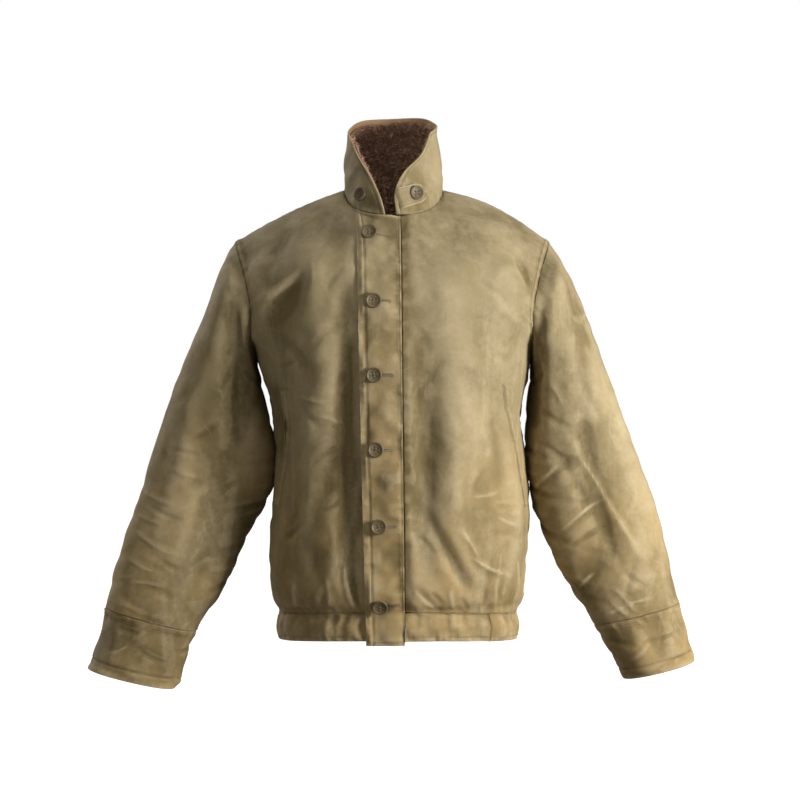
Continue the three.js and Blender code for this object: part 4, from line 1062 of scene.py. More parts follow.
def wall(name, cloth, thick, edge_round, inner_step=4, materials=(), facing_rows=0, free=()):
    """A closed wall of cloth: its fine outside, a coarser inside and the rims between them.

    edge_round holds the radius of the outer corner of edges that aren't plain, and free names the edges that
    wear pale. The topmost facing_rows of the inside have the third material.
    """
    rounds = {**dict.fromkeys(EDGES, PLAIN_ROUND), **edge_round}
    outer = cloth.surface.copy()
    rows, columns = outer.shape[:2]
    sides = ("low", "top") if cloth.wrap else EDGES
    drop = np.zeros((rows, columns))
    lift = np.zeros((rows, columns))
    for side in sides:
        distance = getattr(cloth, side)
        drop = np.minimum(drop, rounded_edge(distance, rounds[side]))
        lift = np.maximum(lift, -rounded_edge(distance, min(rounds[side], thick / 2 - 0.05)))
    outer += cloth.normals * drop[..., None]
    draw = np.zeros((rows, columns, 3))
    draw[0] += unit(outer[1] - outer[0]) * SEAM_GAP / 2
    draw[-1] += unit(outer[-2] - outer[-1]) * SEAM_GAP / 2
    if not cloth.wrap:
        draw[:, 0] += unit(outer[:, 1] - outer[:, 0]) * SEAM_GAP / 2
        draw[:, -1] += unit(outer[:, -2] - outer[:, -1]) * SEAM_GAP / 2
    outer += draw
    row_picks, column_picks = picks(rows, inner_step), picks(columns, inner_step, cloth.wrap)
    level = np.sum((cloth.surface - cloth.points) * cloth.normals, -1)
    depth = np.minimum(level, np.median(level) + 0.4) - thick + lift
    inner = (cloth.points + cloth.normals * depth[..., None] + draw)[np.ix_(row_picks, column_picks)]
    vertices = np.concatenate([outer.reshape(-1, 3), inner.reshape(-1, 3)])
    out_index = np.arange(rows * columns).reshape(rows, columns)
    in_index = rows * columns + np.arange(inner.size // 3).reshape(inner.shape[:2])
    up = cloth.low
    if cloth.wrap:
        out_index = np.concatenate([out_index, out_index[:, :1]], 1)
        in_index = np.concatenate([in_index, in_index[:, :1]], 1)
        up = np.concatenate([up, up[:, :1]], 1)
        column_picks = column_picks + [columns]
    uv_out = np.stack([cloth.widths, up], -1) * MM
    out_faces, out_uv = quads(out_index, uv_out)
    in_faces, in_uv = quads(in_index, uv_out[np.ix_(row_picks, column_picks)])
    middle = out_faces[len(out_faces) // 2]
    a, b, c = vertices[middle[:3]]
    flip = np.dot(np.cross(b - a, c - b), cloth.normals.reshape(-1, 3)[middle[0]]) < 0
    if flip:
        out_faces, out_uv = out_faces[:, ::-1], out_uv[:, ::-1]
    else:
        in_faces, in_uv = in_faces[:, ::-1], in_uv[:, ::-1]
    rims = rim(out_index[0], in_index[0], column_picks, not flip)
    rims += rim(out_index[-1], in_index[-1], column_picks, flip)
    if not cloth.wrap:
        rims += rim(out_index[:, 0], in_index[:, 0], row_picks, flip)
        rims += rim(out_index[:, -1], in_index[:, -1], row_picks, not flip)
    in_row = np.arange(len(in_faces)) // (in_index.shape[1] - 1)
    facing_from = in_index.shape[0] - 1 - facing_rows
    inside_slots = np.where((in_row >= facing_from) & (facing_rows > 0), 2, 1)
    mesh = mesh_from(name, vertices, out_faces.tolist() + in_faces.tolist() + rims)
    rim_uv = [(MM * n, 0.0) for part in rims for n in range(len(part))]
    uvs = np.concatenate([out_uv.reshape(-1, 2), in_uv.reshape(-1, 2), rim_uv])
    mesh.uv_layers.new(name="cloth").data.foreach_set("uv", uvs.astype(np.float32).ravel())
    slots = np.concatenate([np.zeros(len(out_faces)), inside_slots, np.zeros(len(rims))])
    mesh.polygons.foreach_set("material_index", slots.astype(np.int32))
    edge = np.full((rows, columns), 100.0)
    for side in free:
        edge = np.minimum(edge, getattr(cloth, side))
    # The material paints the troughs of this rise darker, as painted shade; the darkened bands join it.
    rise = (cloth.rise if cloth.rise.any() else cloth.height - np.median(cloth.height)) + cloth.darkening
    marks = dict(crease=cloth.marks, edge=np.exp(-edge / 2.8), relief=relief(cloth))
    marks["rise"] = np.clip(rise / 5, -1, 1)
    for key, values in marks.items():
        values = np.concatenate([values.ravel(), np.zeros(inner.size // 3)]).astype(np.float32)
        mesh.attributes.new(key, "FLOAT", "POINT").data.foreach_set("value", values)
    for material in materials:
        mesh.materials.append(material)
    return new_object(name, mesh)


def relief(cloth):
    """How far a place stands above the cloth around it: crests positive, troughs negative."""
    smooth = cloth.height
    for _ in range(6):
        padded = np.pad(smooth, 1, mode="edge")
        smooth = (padded[:-2, 1:-1] + padded[2:, 1:-1] + padded[1:-1, :-2] + padded[1:-1, 2:]) / 4
    return np.clip((cloth.height - smooth) * 4, -1, 1)


# Geometry nodes.


class Tree:
    """A geometry node tree with named inputs, built one node at a time."""

    def __init__(self, name, numbers):
        self.tree = bpy.data.node_groups.new(name, "GeometryNodeTree")
        kinds = {"Geometry": "Geometry", **dict.fromkeys(numbers, "Float")}
        kinds.update(Seed="Int", Material="Material")
        for title, kind in kinds.items():
            self.tree.interface.new_socket(title, in_out="INPUT", socket_type="NodeSocket" + kind)
        self.tree.interface.new_socket("Geometry", in_out="OUTPUT", socket_type="NodeSocketGeometry")
        self.input = self.tree.nodes.new("NodeGroupInput")

    def node(self, kind, settings=None, output=0, **values):
        """Adds a node and gives one of its outputs.

        values are given by socket name, with _ for a space, or i0, i1 ... by place.
        """
        node = self.tree.nodes.new(kind)
        for key, value in (settings or {}).items():
            setattr(node, key, value)
        for key, value in values.items():
            by_place = key[0] == "i" and key[1:].isdigit()
            socket = node.inputs[int(key[1:]) if by_place else key.replace("_", " ")]
            if isinstance(value, bpy.types.NodeSocket):
                self.tree.links.new(value, socket)
            else:
                socket.default_value = value
        return node.outputs[output]

    def math(self, operation, a, b=0.0):
        return self.node("ShaderNodeMath", {"operation": operation}, i0=a, i1=b)

    def times(self, a, b):
        return self.math("MULTIPLY", a, b)

    def vector(self, operation, **values):
        return self.node("ShaderNodeVectorMath", {"operation": operation}, **values)

    def given(self, title):
        return self.input.outputs[title]

    def between(self, low, high, more_seed=0):
        """A random number for each point, with the tree's seed and one of its own on top."""
        seed = self.math("ADD", self.given("Seed"), float(more_seed)) if more_seed else self.given("Seed")
        settings = {"data_type": "FLOAT"}
        return self.node("FunctionNodeRandomValue", settings, output=1, i2=low, i3=high, Seed=seed)

    def along_paths(self, pitch):
        """Points along the given paths, a pitch apart."""
        path = self.node("GeometryNodeMeshToCurve", Mesh=self.given("Geometry"))
        return self.node("GeometryNodeResampleCurve", {"mode": "LENGTH"}, Curve=path, Length=pitch)

    def line(self, count, **ends):
        """A straight line of a few points, with the share of the way along it."""
        line = self.node("GeometryNodeCurvePrimitiveLine", **ends)
        line = self.node("GeometryNodeResampleCurve", {"mode": "COUNT"}, Curve=line, Count=count)
        return line, self.node("GeometryNodeSplineParameter", output="Factor")

    def tube(self, line, sides, radius, **how):
        ring = self.node("GeometryNodeCurvePrimitiveCircle", Resolution=sides, Radius=radius)
        tube = self.node("GeometryNodeCurveToMesh", Curve=line, Profile_Curve=ring, **how)
        return self.node("GeometryNodeSetShadeSmooth", Geometry=tube)

    def thread(self, axis, length, crown, arch):
        """A short thread along an axis, whose middle stands up and whose ends sink into the cloth."""
        half = self.times(length, 0.5)
        start = self.node("ShaderNodeCombineXYZ", **{axis: self.times(half, -1.0)})
        line, share = self.line(4, Start=start, End=self.node("ShaderNodeCombineXYZ", **{axis: half}))
        from_middle = self.math("ABSOLUTE", self.math("SUBTRACT", self.times(share, 2.0), 1.0))
        bend = self.math("SUBTRACT", crown, self.math("POWER", from_middle, 2.0))
        lift = self.node("ShaderNodeCombineXYZ", Z=self.times(bend, arch))
        line = self.node("GeometryNodeSetPosition", Geometry=line, Offset=lift)
        return self.tube(line, 5, self.times(self.given("Thread"), 0.5), Fill_Caps=True)

    def turned_to(self, direction):
        """A turn that stands Z along a direction."""
        return self.node("FunctionNodeAlignRotationToVector", {"axis": "Z"}, Vector=direction)

    def laid_on_cloth(self):
        """A turn that lays X along the path and Z out of the cloth."""
        outward = self.node("GeometryNodeInputNamedAttribute", {"data_type": "FLOAT_VECTOR"}, Name="outward")
        settings = {"axis": "X", "pivot_axis": "Z"}
        tangent = self.node("GeometryNodeInputTangent")
        upright = self.turned_to(outward)
        return self.node("FunctionNodeAlignRotationToVector", settings, Rotation=upright, Vector=tangent)

    def spun(self, rotation, angle):
        """The rotation with a turn about its own Z before it."""
        about = self.node("ShaderNodeCombineXYZ", Z=angle)
        local = self.node("FunctionNodeEulerToRotation", Euler=about)
        settings = {"rotation_space": "LOCAL"}
        return self.node("FunctionNodeRotateRotation", settings, Rotation=rotation, Rotate_By=local)

    def placed(self, points, shape, rotation, scale):
        values = dict(Points=points, Instance=shape, Rotation=rotation, Scale=scale)
        return self.node("GeometryNodeInstanceOnPoints", **values)

    def end(self, geometry):
        real = self.node("GeometryNodeRealizeInstances", Geometry=geometry)
        painted = self.node("GeometryNodeSetMaterial", Geometry=real, Material=self.given("Material"))
        self.tree.links.new(painted, self.tree.nodes.new("NodeGroupOutput").inputs[0])
        return self.tree


def grown(obj, tree, **inputs):
    """Runs a geometry node tree on an object and keeps the result as its plain mesh."""
    modifier = obj.modifiers.new("grow", "NODES")
    modifier.node_group = tree
    for item in tree.interface.items_tree:
        if item.in_out == "INPUT" and item.name in inputs:
            modifier[item.identifier] = inputs[item.name]
    graph = bpy.context.evaluated_depsgraph_get()
    mesh = bpy.data.meshes.new_from_object(obj.evaluated_get(graph), depsgraph=graph)
    obj.modifiers.clear()
    obj.data = mesh
    mesh.name = obj.name
    return obj


def stitch_tree():
    """Stitches along paths: short arched threads whose ends sink into the cloth."""
    t = Tree("Stitches", ("Stitch", "Gap", "Thread", "Arch"))
    places = t.along_paths(t.math("ADD", t.given("Stitch"), t.given("Gap")))
    thread = t.thread("X", t.given("Stitch"), 0.65, t.given("Arch"))
    return t.end(t.placed(places, thread, t.laid_on_cloth(), t.between(0.86, 1.08)))


def bar_tree():
    """Bars of thread laid side by side across a path, as round a buttonhole and in a bar tack."""
    t = Tree("Thread bars", ("Width", "Thread", "Unevenness"))
    places = t.along_paths(t.times(t.given("Thread"), 0.82))
    thread = t.thread("Y", t.given("Width"), 0.7, t.given("Thread"))
    uneven = t.given("Unevenness")
    turned = t.spun(t.laid_on_cloth(), t.between(t.times(uneven, -1.0), uneven))
    return t.end(t.placed(places, thread, turned, t.between(0.85, 1.12, 1)))


def pile_tree():
    """Short bent fibres that stand on a surface, in leaning tufts."""
    t = Tree("Pile", ("Fibre", "Density"))
    values = {"Mesh": t.given("Geometry"), "Density": t.given("Density"), "Seed": t.given("Seed")}
    spots = t.node("GeometryNodeDistributePointsOnFaces", {"distribute_method": "RANDOM"}, **values)
    length = t.given("Fibre")
    line, share = t.line(3, End=t.node("ShaderNodeCombineXYZ", Z=length))
    bend = t.times(t.math("POWER", share, 2.0), t.times(length, 0.55))
    lean = t.node("ShaderNodeCombineXYZ", X=bend, Z=t.times(bend, -0.35))
    line = t.node("GeometryNodeSetPosition", Geometry=line, Offset=lean)
    thin = t.math("SUBTRACT", 1.0, t.times(share, 0.75))
    line = t.node("GeometryNodeSetCurveRadius", Curve=line, Radius=thin)
    fibre = t.tube(line, 3, t.times(length, 0.085), Scale=thin)
    place = t.node("GeometryNodeInputPosition")
    tuft = t.node("ShaderNodeTexNoise", output="Color", Vector=place, Scale=85.0, Detail=2.0)
    strong = t.vector("SCALE", i0=t.vector("SUBTRACT", i0=tuft, i1=(0.5, 0.5, 0.5)), Scale=4.2)
    upright = t.turned_to(t.vector("ADD", i0=spots.node.outputs["Normal"], i1=strong))
    turned = t.spun(upright, t.between(0.0, 6.283))
    fibres = t.placed(spots, fibre, turned, t.between(0.6, 1.1, 7))
    settings = {"data_type": "FLOAT", "domain": "INSTANCE"}
    values = dict(Geometry=fibres, Name="tone", Value=t.between(0.0, 1.0, 3))
    return t.end(t.node("GeometryNodeStoreNamedAttribute", settings, **values))


# Materials.


class Value:
    """A socket that takes part in sums: each operator adds its Math node."""

    def __init__(self, shading, socket):
        self.shading, self.socket = shading, socket

    def _with(self, operation, *others):
        return self.shading.math(operation, self, *others)

    def __add__(self, other):
        return self._with("ADD", other)

    def __sub__(self, other):
        return self._with("SUBTRACT", other)

    def __mul__(self, other):
        return self._with("MULTIPLY", other)

    def __truediv__(self, other):
        return self._with("DIVIDE", other)

    def __pow__(self, other):
        return self._with("POWER", other)

    def __neg__(self):
        return self * -1.0

    def __rsub__(self, other):
        return self.shading.math("SUBTRACT", other, self)

    def __rtruediv__(self, other):
        return self.shading.math("DIVIDE", other, self)

    __radd__, __rmul__ = __add__, __mul__

    def step(self, low, high):
        """0 below low, 1 above high and smooth between; high may be the smaller one."""
        settings = {"interpolation_type": "SMOOTHSTEP"}
        values = {"Value": self, "From Min": low, "From Max": high}
        return self.shading.node("ShaderNodeMapRange", settings, values, "Result")

    def clamped(self):
        return self.shading.node("ShaderNodeClamp", {}, {"Value": self})


class Shading:
    """A material's nodes round one Principled shader."""

    def __init__(self, name):
        self.material = bpy.data.materials.new(name)
        self.material.use_nodes = True
        self.tree = self.material.node_tree
        self.shader = self.tree.nodes["Principled BSDF"]

    def node(self, kind, settings=None, values=None, output=0):
        node = self.tree.nodes.new(kind)
        for key, value in (settings or {}).items():
            setattr(node, key, value)
        for key, value in (values or {}).items():
            self.feed(node.inputs[key], value)
        return Value(self, node.outputs[output])

    def feed(self, socket, value):
        if isinstance(value, Value):
            self.tree.links.new(value.socket, socket)
        elif socket.type == "RGBA":
            socket.default_value = (*value, 1.0)
        else:
            socket.default_value = value

    def math(self, operation, *values):
        return self.node("ShaderNodeMath", {"operation": operation}, dict(enumerate(values)))

    def mixed(self, factor, a, b, blend="MIX"):
        """Colours a and b, mixed by a value or a number."""
        settings = {"data_type": "RGBA", "blend_type": blend}
        return self.node("ShaderNodeMix", settings, {0: factor, 6: a, 7: b}, 2)

    def place(self):
        return self.node("ShaderNodeTexCoord", output="Object")

    def cloth_place(self):
        return self.node("ShaderNodeUVMap", {"uv_map": "cloth"})

    def attribute(self, name):
        return self.node("ShaderNodeAttribute", {"attribute_name": name}, output="Fac")

    def noise(self, vector, scale, detail=3.0, roughness=0.55, distortion=0.0):
        values = dict(Vector=vector, Scale=scale, Detail=detail, Roughness=roughness, Distortion=distortion)
        return self.node("ShaderNodeTexNoise", {}, values, "Fac")

    def stretched(self, vector, scale):
        return self.node("ShaderNodeMapping", {}, {"Vector": vector, "Scale": scale})

    def bump(self, height, distance, strength=1.0, normal=None):
        values = {"Height": height, "Distance": distance, "Strength": strength}
        if normal is not None:
            values["Normal"] = normal
        return self.node("ShaderNodeBump", {}, values)

    def finish(self, colour, roughness, normal=None, **constants):
        self.feed(self.shader.inputs["Base Color"], colour)
        self.feed(self.shader.inputs["Roughness"], roughness)
        if normal is not None:
            self.feed(self.shader.inputs["Normal"], normal)
        for key, value in constants.items():
            self.feed(self.shader.inputs[key.replace("_", " ")], value)
        return self.material


def once(name, make):
    """The material of that name, made on its first use."""
    return bpy.data.materials.get(name) or make(name)


def waxed_material(name, tan_from, tan_to):
    """Waxed cotton: olive above, tan below, clouded by wax, with painted shade in its troughs, pale fold
    lines, worn edges and a weave.

    tan_from and tan_to are the heights between which the cloth turns tan.
    """
    c = colours()
    s = Shading(name)
    place, cloth = s.place(), s.cloth_place()
    height = s.node("ShaderNodeSeparateXYZ", {}, {"Vector": place}, "Z")
    crease, edge, crest = s.attribute("crease"), s.attribute("edge"), s.attribute("relief")
    upright = s.stretched(place, (1.0, 1.0, 0.3))
    cloud = s.noise(place, 5.5, 3.0, 0.5, 0.5)
    streak = s.noise(upright, 26.0, 4.0, 0.6, 0.5)
    patch = s.noise(place, 34.0, 4.0, 0.6, 0.7)
    fine = s.noise(place, 150.0, 4.0, 0.65)
    grain = s.noise(s.stretched(cloth, (1.0, 0.3, 1.0)), 800.0, 2.0, 0.5)
    slub = s.noise(s.stretched(cloth, (0.1, 1.0, 1.0)), 1300.0, 2.0, 0.5)
    tan = (height + (cloud - 0.5) * 0.5 + (patch - 0.5) * 0.12).step(tan_from, tan_to)
    colour = s.mixed(tan, c.cloth, c.tan_cloth)
    rise = s.attribute("rise")
    # Painted shade: the troughs of the cloth's rise are painted with the dark waxy colour; its crests are
    # paled towards the worn colour as wear.
    painted_trough_shade = (rise * -1.0 + (patch - 0.5) * 0.35).step(0.05, 0.95)
    ridge = (rise + (patch - 0.5) * 0.4).step(0.10, 1.0)
    colour = s.mixed(painted_trough_shade * 0.85, colour, c.cloth_deep)
    colour = s.mixed(ridge * 0.38, colour, c.cloth_worn)
    colour = s.mixed((cloud * 0.85 + patch * 0.25).step(0.46, 0.72) * 0.65, colour, c.cloth_deep)
    colour = s.mixed((streak * 0.85 + fine * 0.2).step(0.42, 0.74) * 0.5, colour, c.cloth_worn)
    contour = s.noise(s.stretched(place, (1.0, 1.0, 0.6)), 13.0, 2.0, 0.45, 0.6) - 0.5
    finer = s.noise(place, 30.0, 1.5, 0.5, 0.8) - 0.5
    here = s.noise(place, 27.0, 2.0).step(0.58, 0.68)
    there = s.noise(place, 33.0, 2.0, 0.5, 1.0).step(0.58, 0.68)
    fold_line = (contour * contour).step(0.00010, 0.0) * here
    fold_line = fold_line + (finer * finer).step(0.0003, 0.0) * there * 0.6
    rubbed = crease.step(0.35, 1.3) * 0.5 + edge * (0.45 + patch * 0.8) + crest.step(0.2, 0.9) * 0.25
    colour = s.mixed((rubbed * (0.4 + fine) + fold_line * 0.20).clamped(), colour, c.cloth_worn)
    spots = s.noise(place, 210.0, 2.0, 0.6).step(0.70, 0.76) * s.noise(place, 24.0, 2.0).step(0.5, 0.7)
    colour = s.mixed(spots * 0.5, colour, c.cloth_deep)
    tone = 0.84 + grain * 0.16 + slub * 0.10 + (fine - 0.5) * 0.16
    grey = s.node("ShaderNodeCombineColor", {}, {0: tone, 1: tone, 2: tone})
    colour = s.mixed(1.0, colour, grey, "MULTIPLY")
    weave = {"Vector": cloth, "Scale": 620.0, "Distortion": 0.6, "Detail": 1.0}
    warp = s.node("ShaderNodeTexWave", {"bands_direction": "X"}, weave, "Fac")
    weft = s.node("ShaderNodeTexWave", {"bands_direction": "Y"}, weave, "Fac")
    normal = s.bump(patch * 0.7 + streak * 0.5 + fold_line * 0.2, 0.0010, 0.6)
    normal = s.bump(warp * 0.5 + weft * 0.5 + grain * 0.4 + fine * 0.9, 0.00020, 0.7, normal)
    rough = (0.70 + rubbed * 0.1 - tan * 0.04 + (patch - 0.5) * 0.2 + (fine - 0.5) * 0.15).clamped()
    return s.finish(colour, rough, normal, Specular_IOR_Level=0.22, Sheen_Weight=0.03, Sheen_Roughness=0.5)


def shell_material(tan=False):
    """The shell's waxed cotton, or that of the parts that have turned tan further up."""
    if tan:
        return once("waxed cotton, tan", lambda n: waxed_material(n, -0.02, -0.42))
    return once("waxed cotton", lambda n: waxed_material(n, -0.22, -0.62))


def plain_cloth_material(name, colour):
    s = Shading(name)
    place, cloth = s.place(), s.cloth_place()
    darkening, fine = s.noise(place, 18.0, 4.0, 0.6), s.noise(cloth, 900.0, 2.0)
    dark = [0.72 * v for v in colour]
    shade = s.mixed((darkening * 0.6 + fine * 0.5).step(0.3, 0.8), dark, colour)
    return s.finish(shade, 0.85 - darkening * 0.1, s.bump(fine, 0.0003, 0.6), Specular_IOR_Level=0.2)


def lining_material():
    return once("cotton lining", lambda n: plain_cloth_material(n, colours().lining))


def facing_material():
    return once("cotton facing", lambda n: plain_cloth_material(n, colours().facing))


def pile_material():
    def make(name):
        s = Shading(name)
        place = s.place()
        tuft, fine = s.noise(place, 90.0, 3.0, 0.6), s.noise(place, 900.0, 2.0)
        tone = s.attribute("tone")
        share = (tuft * 0.5 + fine * 0.15 + tone * tone * tone * 0.9).step(0.32, 1.15)
        shade = s.mixed(share, colours().pile_deep, colours().pile)
        values = dict(Specular_IOR_Level=0.12, Sheen_Weight=0.08, Sheen_Roughness=0.5)
        return s.finish(shade, 0.9 - fine * 0.15, s.bump(tuft + fine * 0.5, 0.0015, 0.6), **values)

    return once("wool pile", make)


def thread_material(pale=False):
    def make(name):
        s = Shading(name)
        place = s.place()
        fine, broad = s.noise(place, 1400.0, 2.0), s.noise(place, 30.0, 3.0)
        colour = colours().thread_pale if pale else colours().thread
        shade = s.mixed((broad * 0.7 + fine * 0.5).step(0.35, 0.8), [0.55 * v for v in colour], colour)
        return s.finish(shade, 0.8 - fine * 0.15, s.bump(fine, 0.0001, 0.5), Specular_IOR_Level=0.25)

    return once("pale thread" if pale else "cotton thread", make)


def button_material():
    def make(name):
        s = Shading(name)
        place = s.place()
        cloud, scratch = s.noise(place, 160.0, 4.0, 0.6, 0.8), s.noise(place, 900.0, 3.0, 0.6)
        colour = colours().button
        pale = [min(1.0, 1.7 * v) for v in colour]
        shade = s.mixed((cloud * 0.9 + scratch * 0.25).step(0.42, 0.85), colour, pale)
        rough = 0.36 + scratch * 0.22 + cloud * 0.1
        return s.finish(shade, rough, s.bump(scratch + cloud, 0.00012, 0.4), Specular_IOR_Level=0.5)

    return once("horn-look button", make)


# The pieces' grids.

pieces = {}


def panel_ats(step=2.5):
    """Places up the cloth from the hem seam to the top seam."""
    return TOP_AT * graded(550, step)


def section(start, end, shares):
    """Columns of each row, from its start to its end."""
    return mix(np.asarray(start)[..., None], np.asarray(end)[..., None], shares)


def widened(ats, u):
    """The places of the rows, one for each column."""
    return np.repeat(ats[:, None], u.shape[1], 1)


def front_left_grid(ats, step=2.3):
    seam = column_at(placket_x(ats, "seam_hem", "seam_top"), ats)
    inner = section(seam, np.full(len(ats), NECK_SHARE), graded(100, step, True, False))
    outer = section(np.full(len(ats), NECK_SHARE), np.ones(len(ats)), graded(150, step, False, True))
    u = np.concatenate([inner, outer[:, 1:]], 1)
    return u, widened(ats, u)


def front_right_grid(ats, step=2.3):
    collar_end = column_at(np.full(len(ats), COLLAR_EDGES[-1][0][1]), ats)
    free = column_at(placket_x(ats, "seam_hem", "seam_top") - UNDERLAP, ats)
    outer = section(-np.ones(len(ats)), np.full(len(ats), -NECK_SHARE), graded(150, step, True, False))
    inner = section(np.full(len(ats), -NECK_SHARE), collar_end, graded(80, step, False, False))
    lap = section(collar_end, free, graded(14, 2.5, False, False))
    u = np.concatenate([outer, inner[:, 1:], lap[:, 1:]], 1)
    return u, widened(ats, u)


def back_grid(ats, step=2.6):
    n = np.ones(len(ats))
    right = section(-n, -NECK_SHARE * n, graded(150, step, True, False))
    middle = section(-NECK_SHARE * n, NECK_SHARE * n, graded(200, step, False, False))
    left = section(NECK_SHARE * n, n, graded(150, step, False, True))
    u = np.concatenate([right, middle[:, 1:], left[:, 1:]], 1)
    return u, widened(ats, u)


def seam_fade(cloth, reach=14.0, sides=("left", "right", "low", "top")):
    fade = np.ones(cloth.height.shape)
    for side in sides:
        fade = fade * smoothstep(getattr(cloth, side), 0, reach)
    return fade


def placket_valley(distance, along):
    """The cloth dips unevenly towards the seam of the placket."""
    return (1.6 + 3.2 * ripple(along, 13.0, 55)) * np.exp(-((distance / 9.5) ** 2))


def dress_panel(cloth, side_edges, seed, ats, u):
    """Folds and seams of a body panel: side seam and armhole at its outer edges, hem, neck and shoulder."""
    crease_cloth(cloth, FOLDS, SOFT_FOLDS, CREASES, seam_fade(cloth), seed)
    rings = side_ring_height(u, ats[:, None])
    cloth.height += rings
    cloth.rise += rings
    above_armpit = smoothstep(ats[:, None], ARMPIT_AT - 8, ARMPIT_AT + 8)
    for edge in side_edges:
        d = getattr(cloth, edge)
        cloth.height += (felled(d, 9.0, 1.1) + groove(d, 8.0, 0.6, 1.0)) * above_armpit
        cloth.groove(edge, 2.4, 0.55)
        cloth.crimp(edge, seed + 20, 16, 6.0, 1.9)
        cloth.darken_row(edge, seed + 50)
        cloth.darkening += darkened_band(d, cloth.low, seed + 51, 8.0, 1.3, 2.5) * above_armpit
    cloth.crimp("low", seed + 30, 16, 6.0, 1.6)
    cloth.crimp("top", seed + 40, 10)
    cloth.groove("top", 2.0, 0.3, 0.8)
    cloth.darken_row("low", seed + 52, 0.0, 3.0, 4.5)
    cloth.darken_row("top", seed + 53)
    # Painted shade: the panel is painted darker towards its side edges.
    cloth.darkening -= 2.4 * np.exp(-(((1 - np.abs(u)) / 0.10) ** 2))


def placket_waves(points):
    """The broad unevenness of the placket, which the cloth under it follows."""
    return 2.0 * waves(points, 24, 101, stretch=(1, 1, 0.8)) + 0.8 * waves(points, 11, 102)


def tuck_under(cloth, at):
    """Sinks the cloth that lies under the placket, so that it never comes through."""
    past = cloth.points[..., 0] - placket_x(at, "free_hem", "free_top")
    cloth.height += (placket_waves(cloth.points) - 3.4 - cloth.height) * smoothstep(past, 2, 10)


def belong(obj, slot, *nodes):
    """Ties a piece to the body and hides the solids that it stands for. The slot is not used."""
    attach(obj, "root")
    if nodes:
        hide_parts(*nodes)


def cut_sheet(node):
    """Looks up the piece that a sheet rests on, and does nothing with it."""
    rests_on = [RESTS_ON[node]] if node in RESTS_ON else []


def cloth_piece(node, cloth, rounds, thick="cloth", tan=False, **how):
    """Makes a piece of cloth in the place of its solid."""
    materials = [shell_material(tan), lining_material()]
    if "facing_rows" in how:
        materials.append(facing_material())
    obj = wall(node + "_cloth", cloth, in_mm(thick), rounds, materials=materials, **how)
    belong(obj, "shell_cloth", node)
    cut_sheet(node)


def row_points(cloth, edge, inset, start=0.0, end=1.0, lift=0.12):
    """Points of a stitch row that runs at an even distance from an edge of the cloth, with their normals."""
    distance = getattr(cloth, edge)
    lengthwise = edge in ("left", "right")
    lines = range(distance.shape[0]) if lengthwise else range(distance.shape[1])
    lines = [k for k in lines if start <= k / max(len(lines) - 1, 1) <= end]
    found, outward = [], []
    for k in lines:
        d = distance[k] if lengthwise else distance[:, k]
        p = cloth.surface[k] if lengthwise else cloth.surface[:, k]
        n = cloth.normals[k] if lengthwise else cloth.normals[:, k]
        order = np.argsort(d)
        if inset > d.max():
            continue
        found.append([np.interp(inset, d[order], p[order, axis]) for axis in range(3)])
        outward.append([np.interp(inset, d[order], n[order, axis]) for axis in range(3)])
    found, outward = np.array(found), unit(np.array(outward))
    return found + outward * lift, outward


def armpit_share(ats):
    """The share of the rows of a panel that lie below the armpit."""
    return float(np.searchsorted(ats, ARMPIT_AT)) / (len(ats) - 1)


def closed_row(points, outward):
    return np.concatenate([points, points[:1]]), np.concatenate([outward, outward[:1]])


def path_object(name, rows):
    """Polylines as one mesh of edges, with the cloth's outward direction at each point."""
    vertices = np.concatenate([row[0] for row in rows])
    outward = np.concatenate([row[1] for row in rows])
    edges, first = [], 0
    for row in rows:
        count = len(row[0])
        edges += [(first + k, first + k + 1) for k in range(count - 1)]
        first += count
    mesh = bpy.data.meshes.new(name)
    mesh.from_pydata((vertices * MM).tolist(), edges, [])
    attribute = mesh.attributes.new("outward", "FLOAT_VECTOR", "POINT")
    attribute.data.foreach_set("vector", outward.astype(np.float32).ravel())
    return new_object(name, mesh)


def sew(name, rows, seed, pale=False, scale=1.0):
    """Stitches along rows of points, as one piece."""
    s = sizes()
    tree = bpy.data.node_groups.get("Stitches") or stitch_tree()
    lengths = dict(Stitch=s.stitch * scale, Gap=s.stitch_gap * scale)
    lengths.update(Thread=s.thread * scale, Arch=s.thread * 0.55)
    obj = grown(path_object(name, rows), tree, Seed=seed, Material=thread_material(pale), **lengths)
    belong(obj, "shell_cloth")


def bars(name, rows, width, seed, pale, thread, uneven):
    """Thread bars across rows of points, as one piece. Sizes in millimetres."""
    tree = bpy.data.node_groups.get("Thread bars") or bar_tree()
    values = dict(Width=width * MM, Thread=thread * MM, Unevenness=uneven)
    obj = grown(path_object(name, rows), tree, Seed=seed, Material=thread_material(pale), **values)
    belong(obj, "shell_cloth")


def nearest_row(cloth, x, z):
    """The row of a piece's grid that passes nearest to an x and z on its front."""
    miss = np.hypot(cloth.surface[..., 0] - x, cloth.surface[..., 2] - z) + (cloth.normals[..., 1] > 0) * 1e3
    return np.unravel_index(np.argmin(miss), miss.shape)[0]


# Operators, one for each group of pieces.


class MakeFronts(bpy.types.Operator):
    """Make the two fronts with their creases and seams."""

    bl_idname = "jacket.fronts"
    bl_label = "Fronts"

    def execute(self, context):
        ats = panel_ats()
        u, at = front_left_grid(ats)
        left = Cloth(left_front_point(u, at), 1)
        dress_panel(left, ("right",), 11, ats, u)
        # Painted shadow: a broad darker band on the front beside the placket's seam.
        left.darken_row("left", 54, 0.0, 10.0, 7.5)
        left.height -= placket_valley(left.left, left.low)
        pieces["front_left"] = left.settle()
        u, at = front_right_grid(ats)
        right = Cloth(body_point(u, at, "front"), 1)
        dress_panel(right, ("left",), 12, ats, u)
        tuck_under(right, at)
        pieces["front_right"] = right.settle()
        cloth_piece("front_left", left, dict(left=2.2, right=0.95))
        cloth_piece("front_right", right, dict(right=1.1, left=0.95))
        return {"FINISHED"}


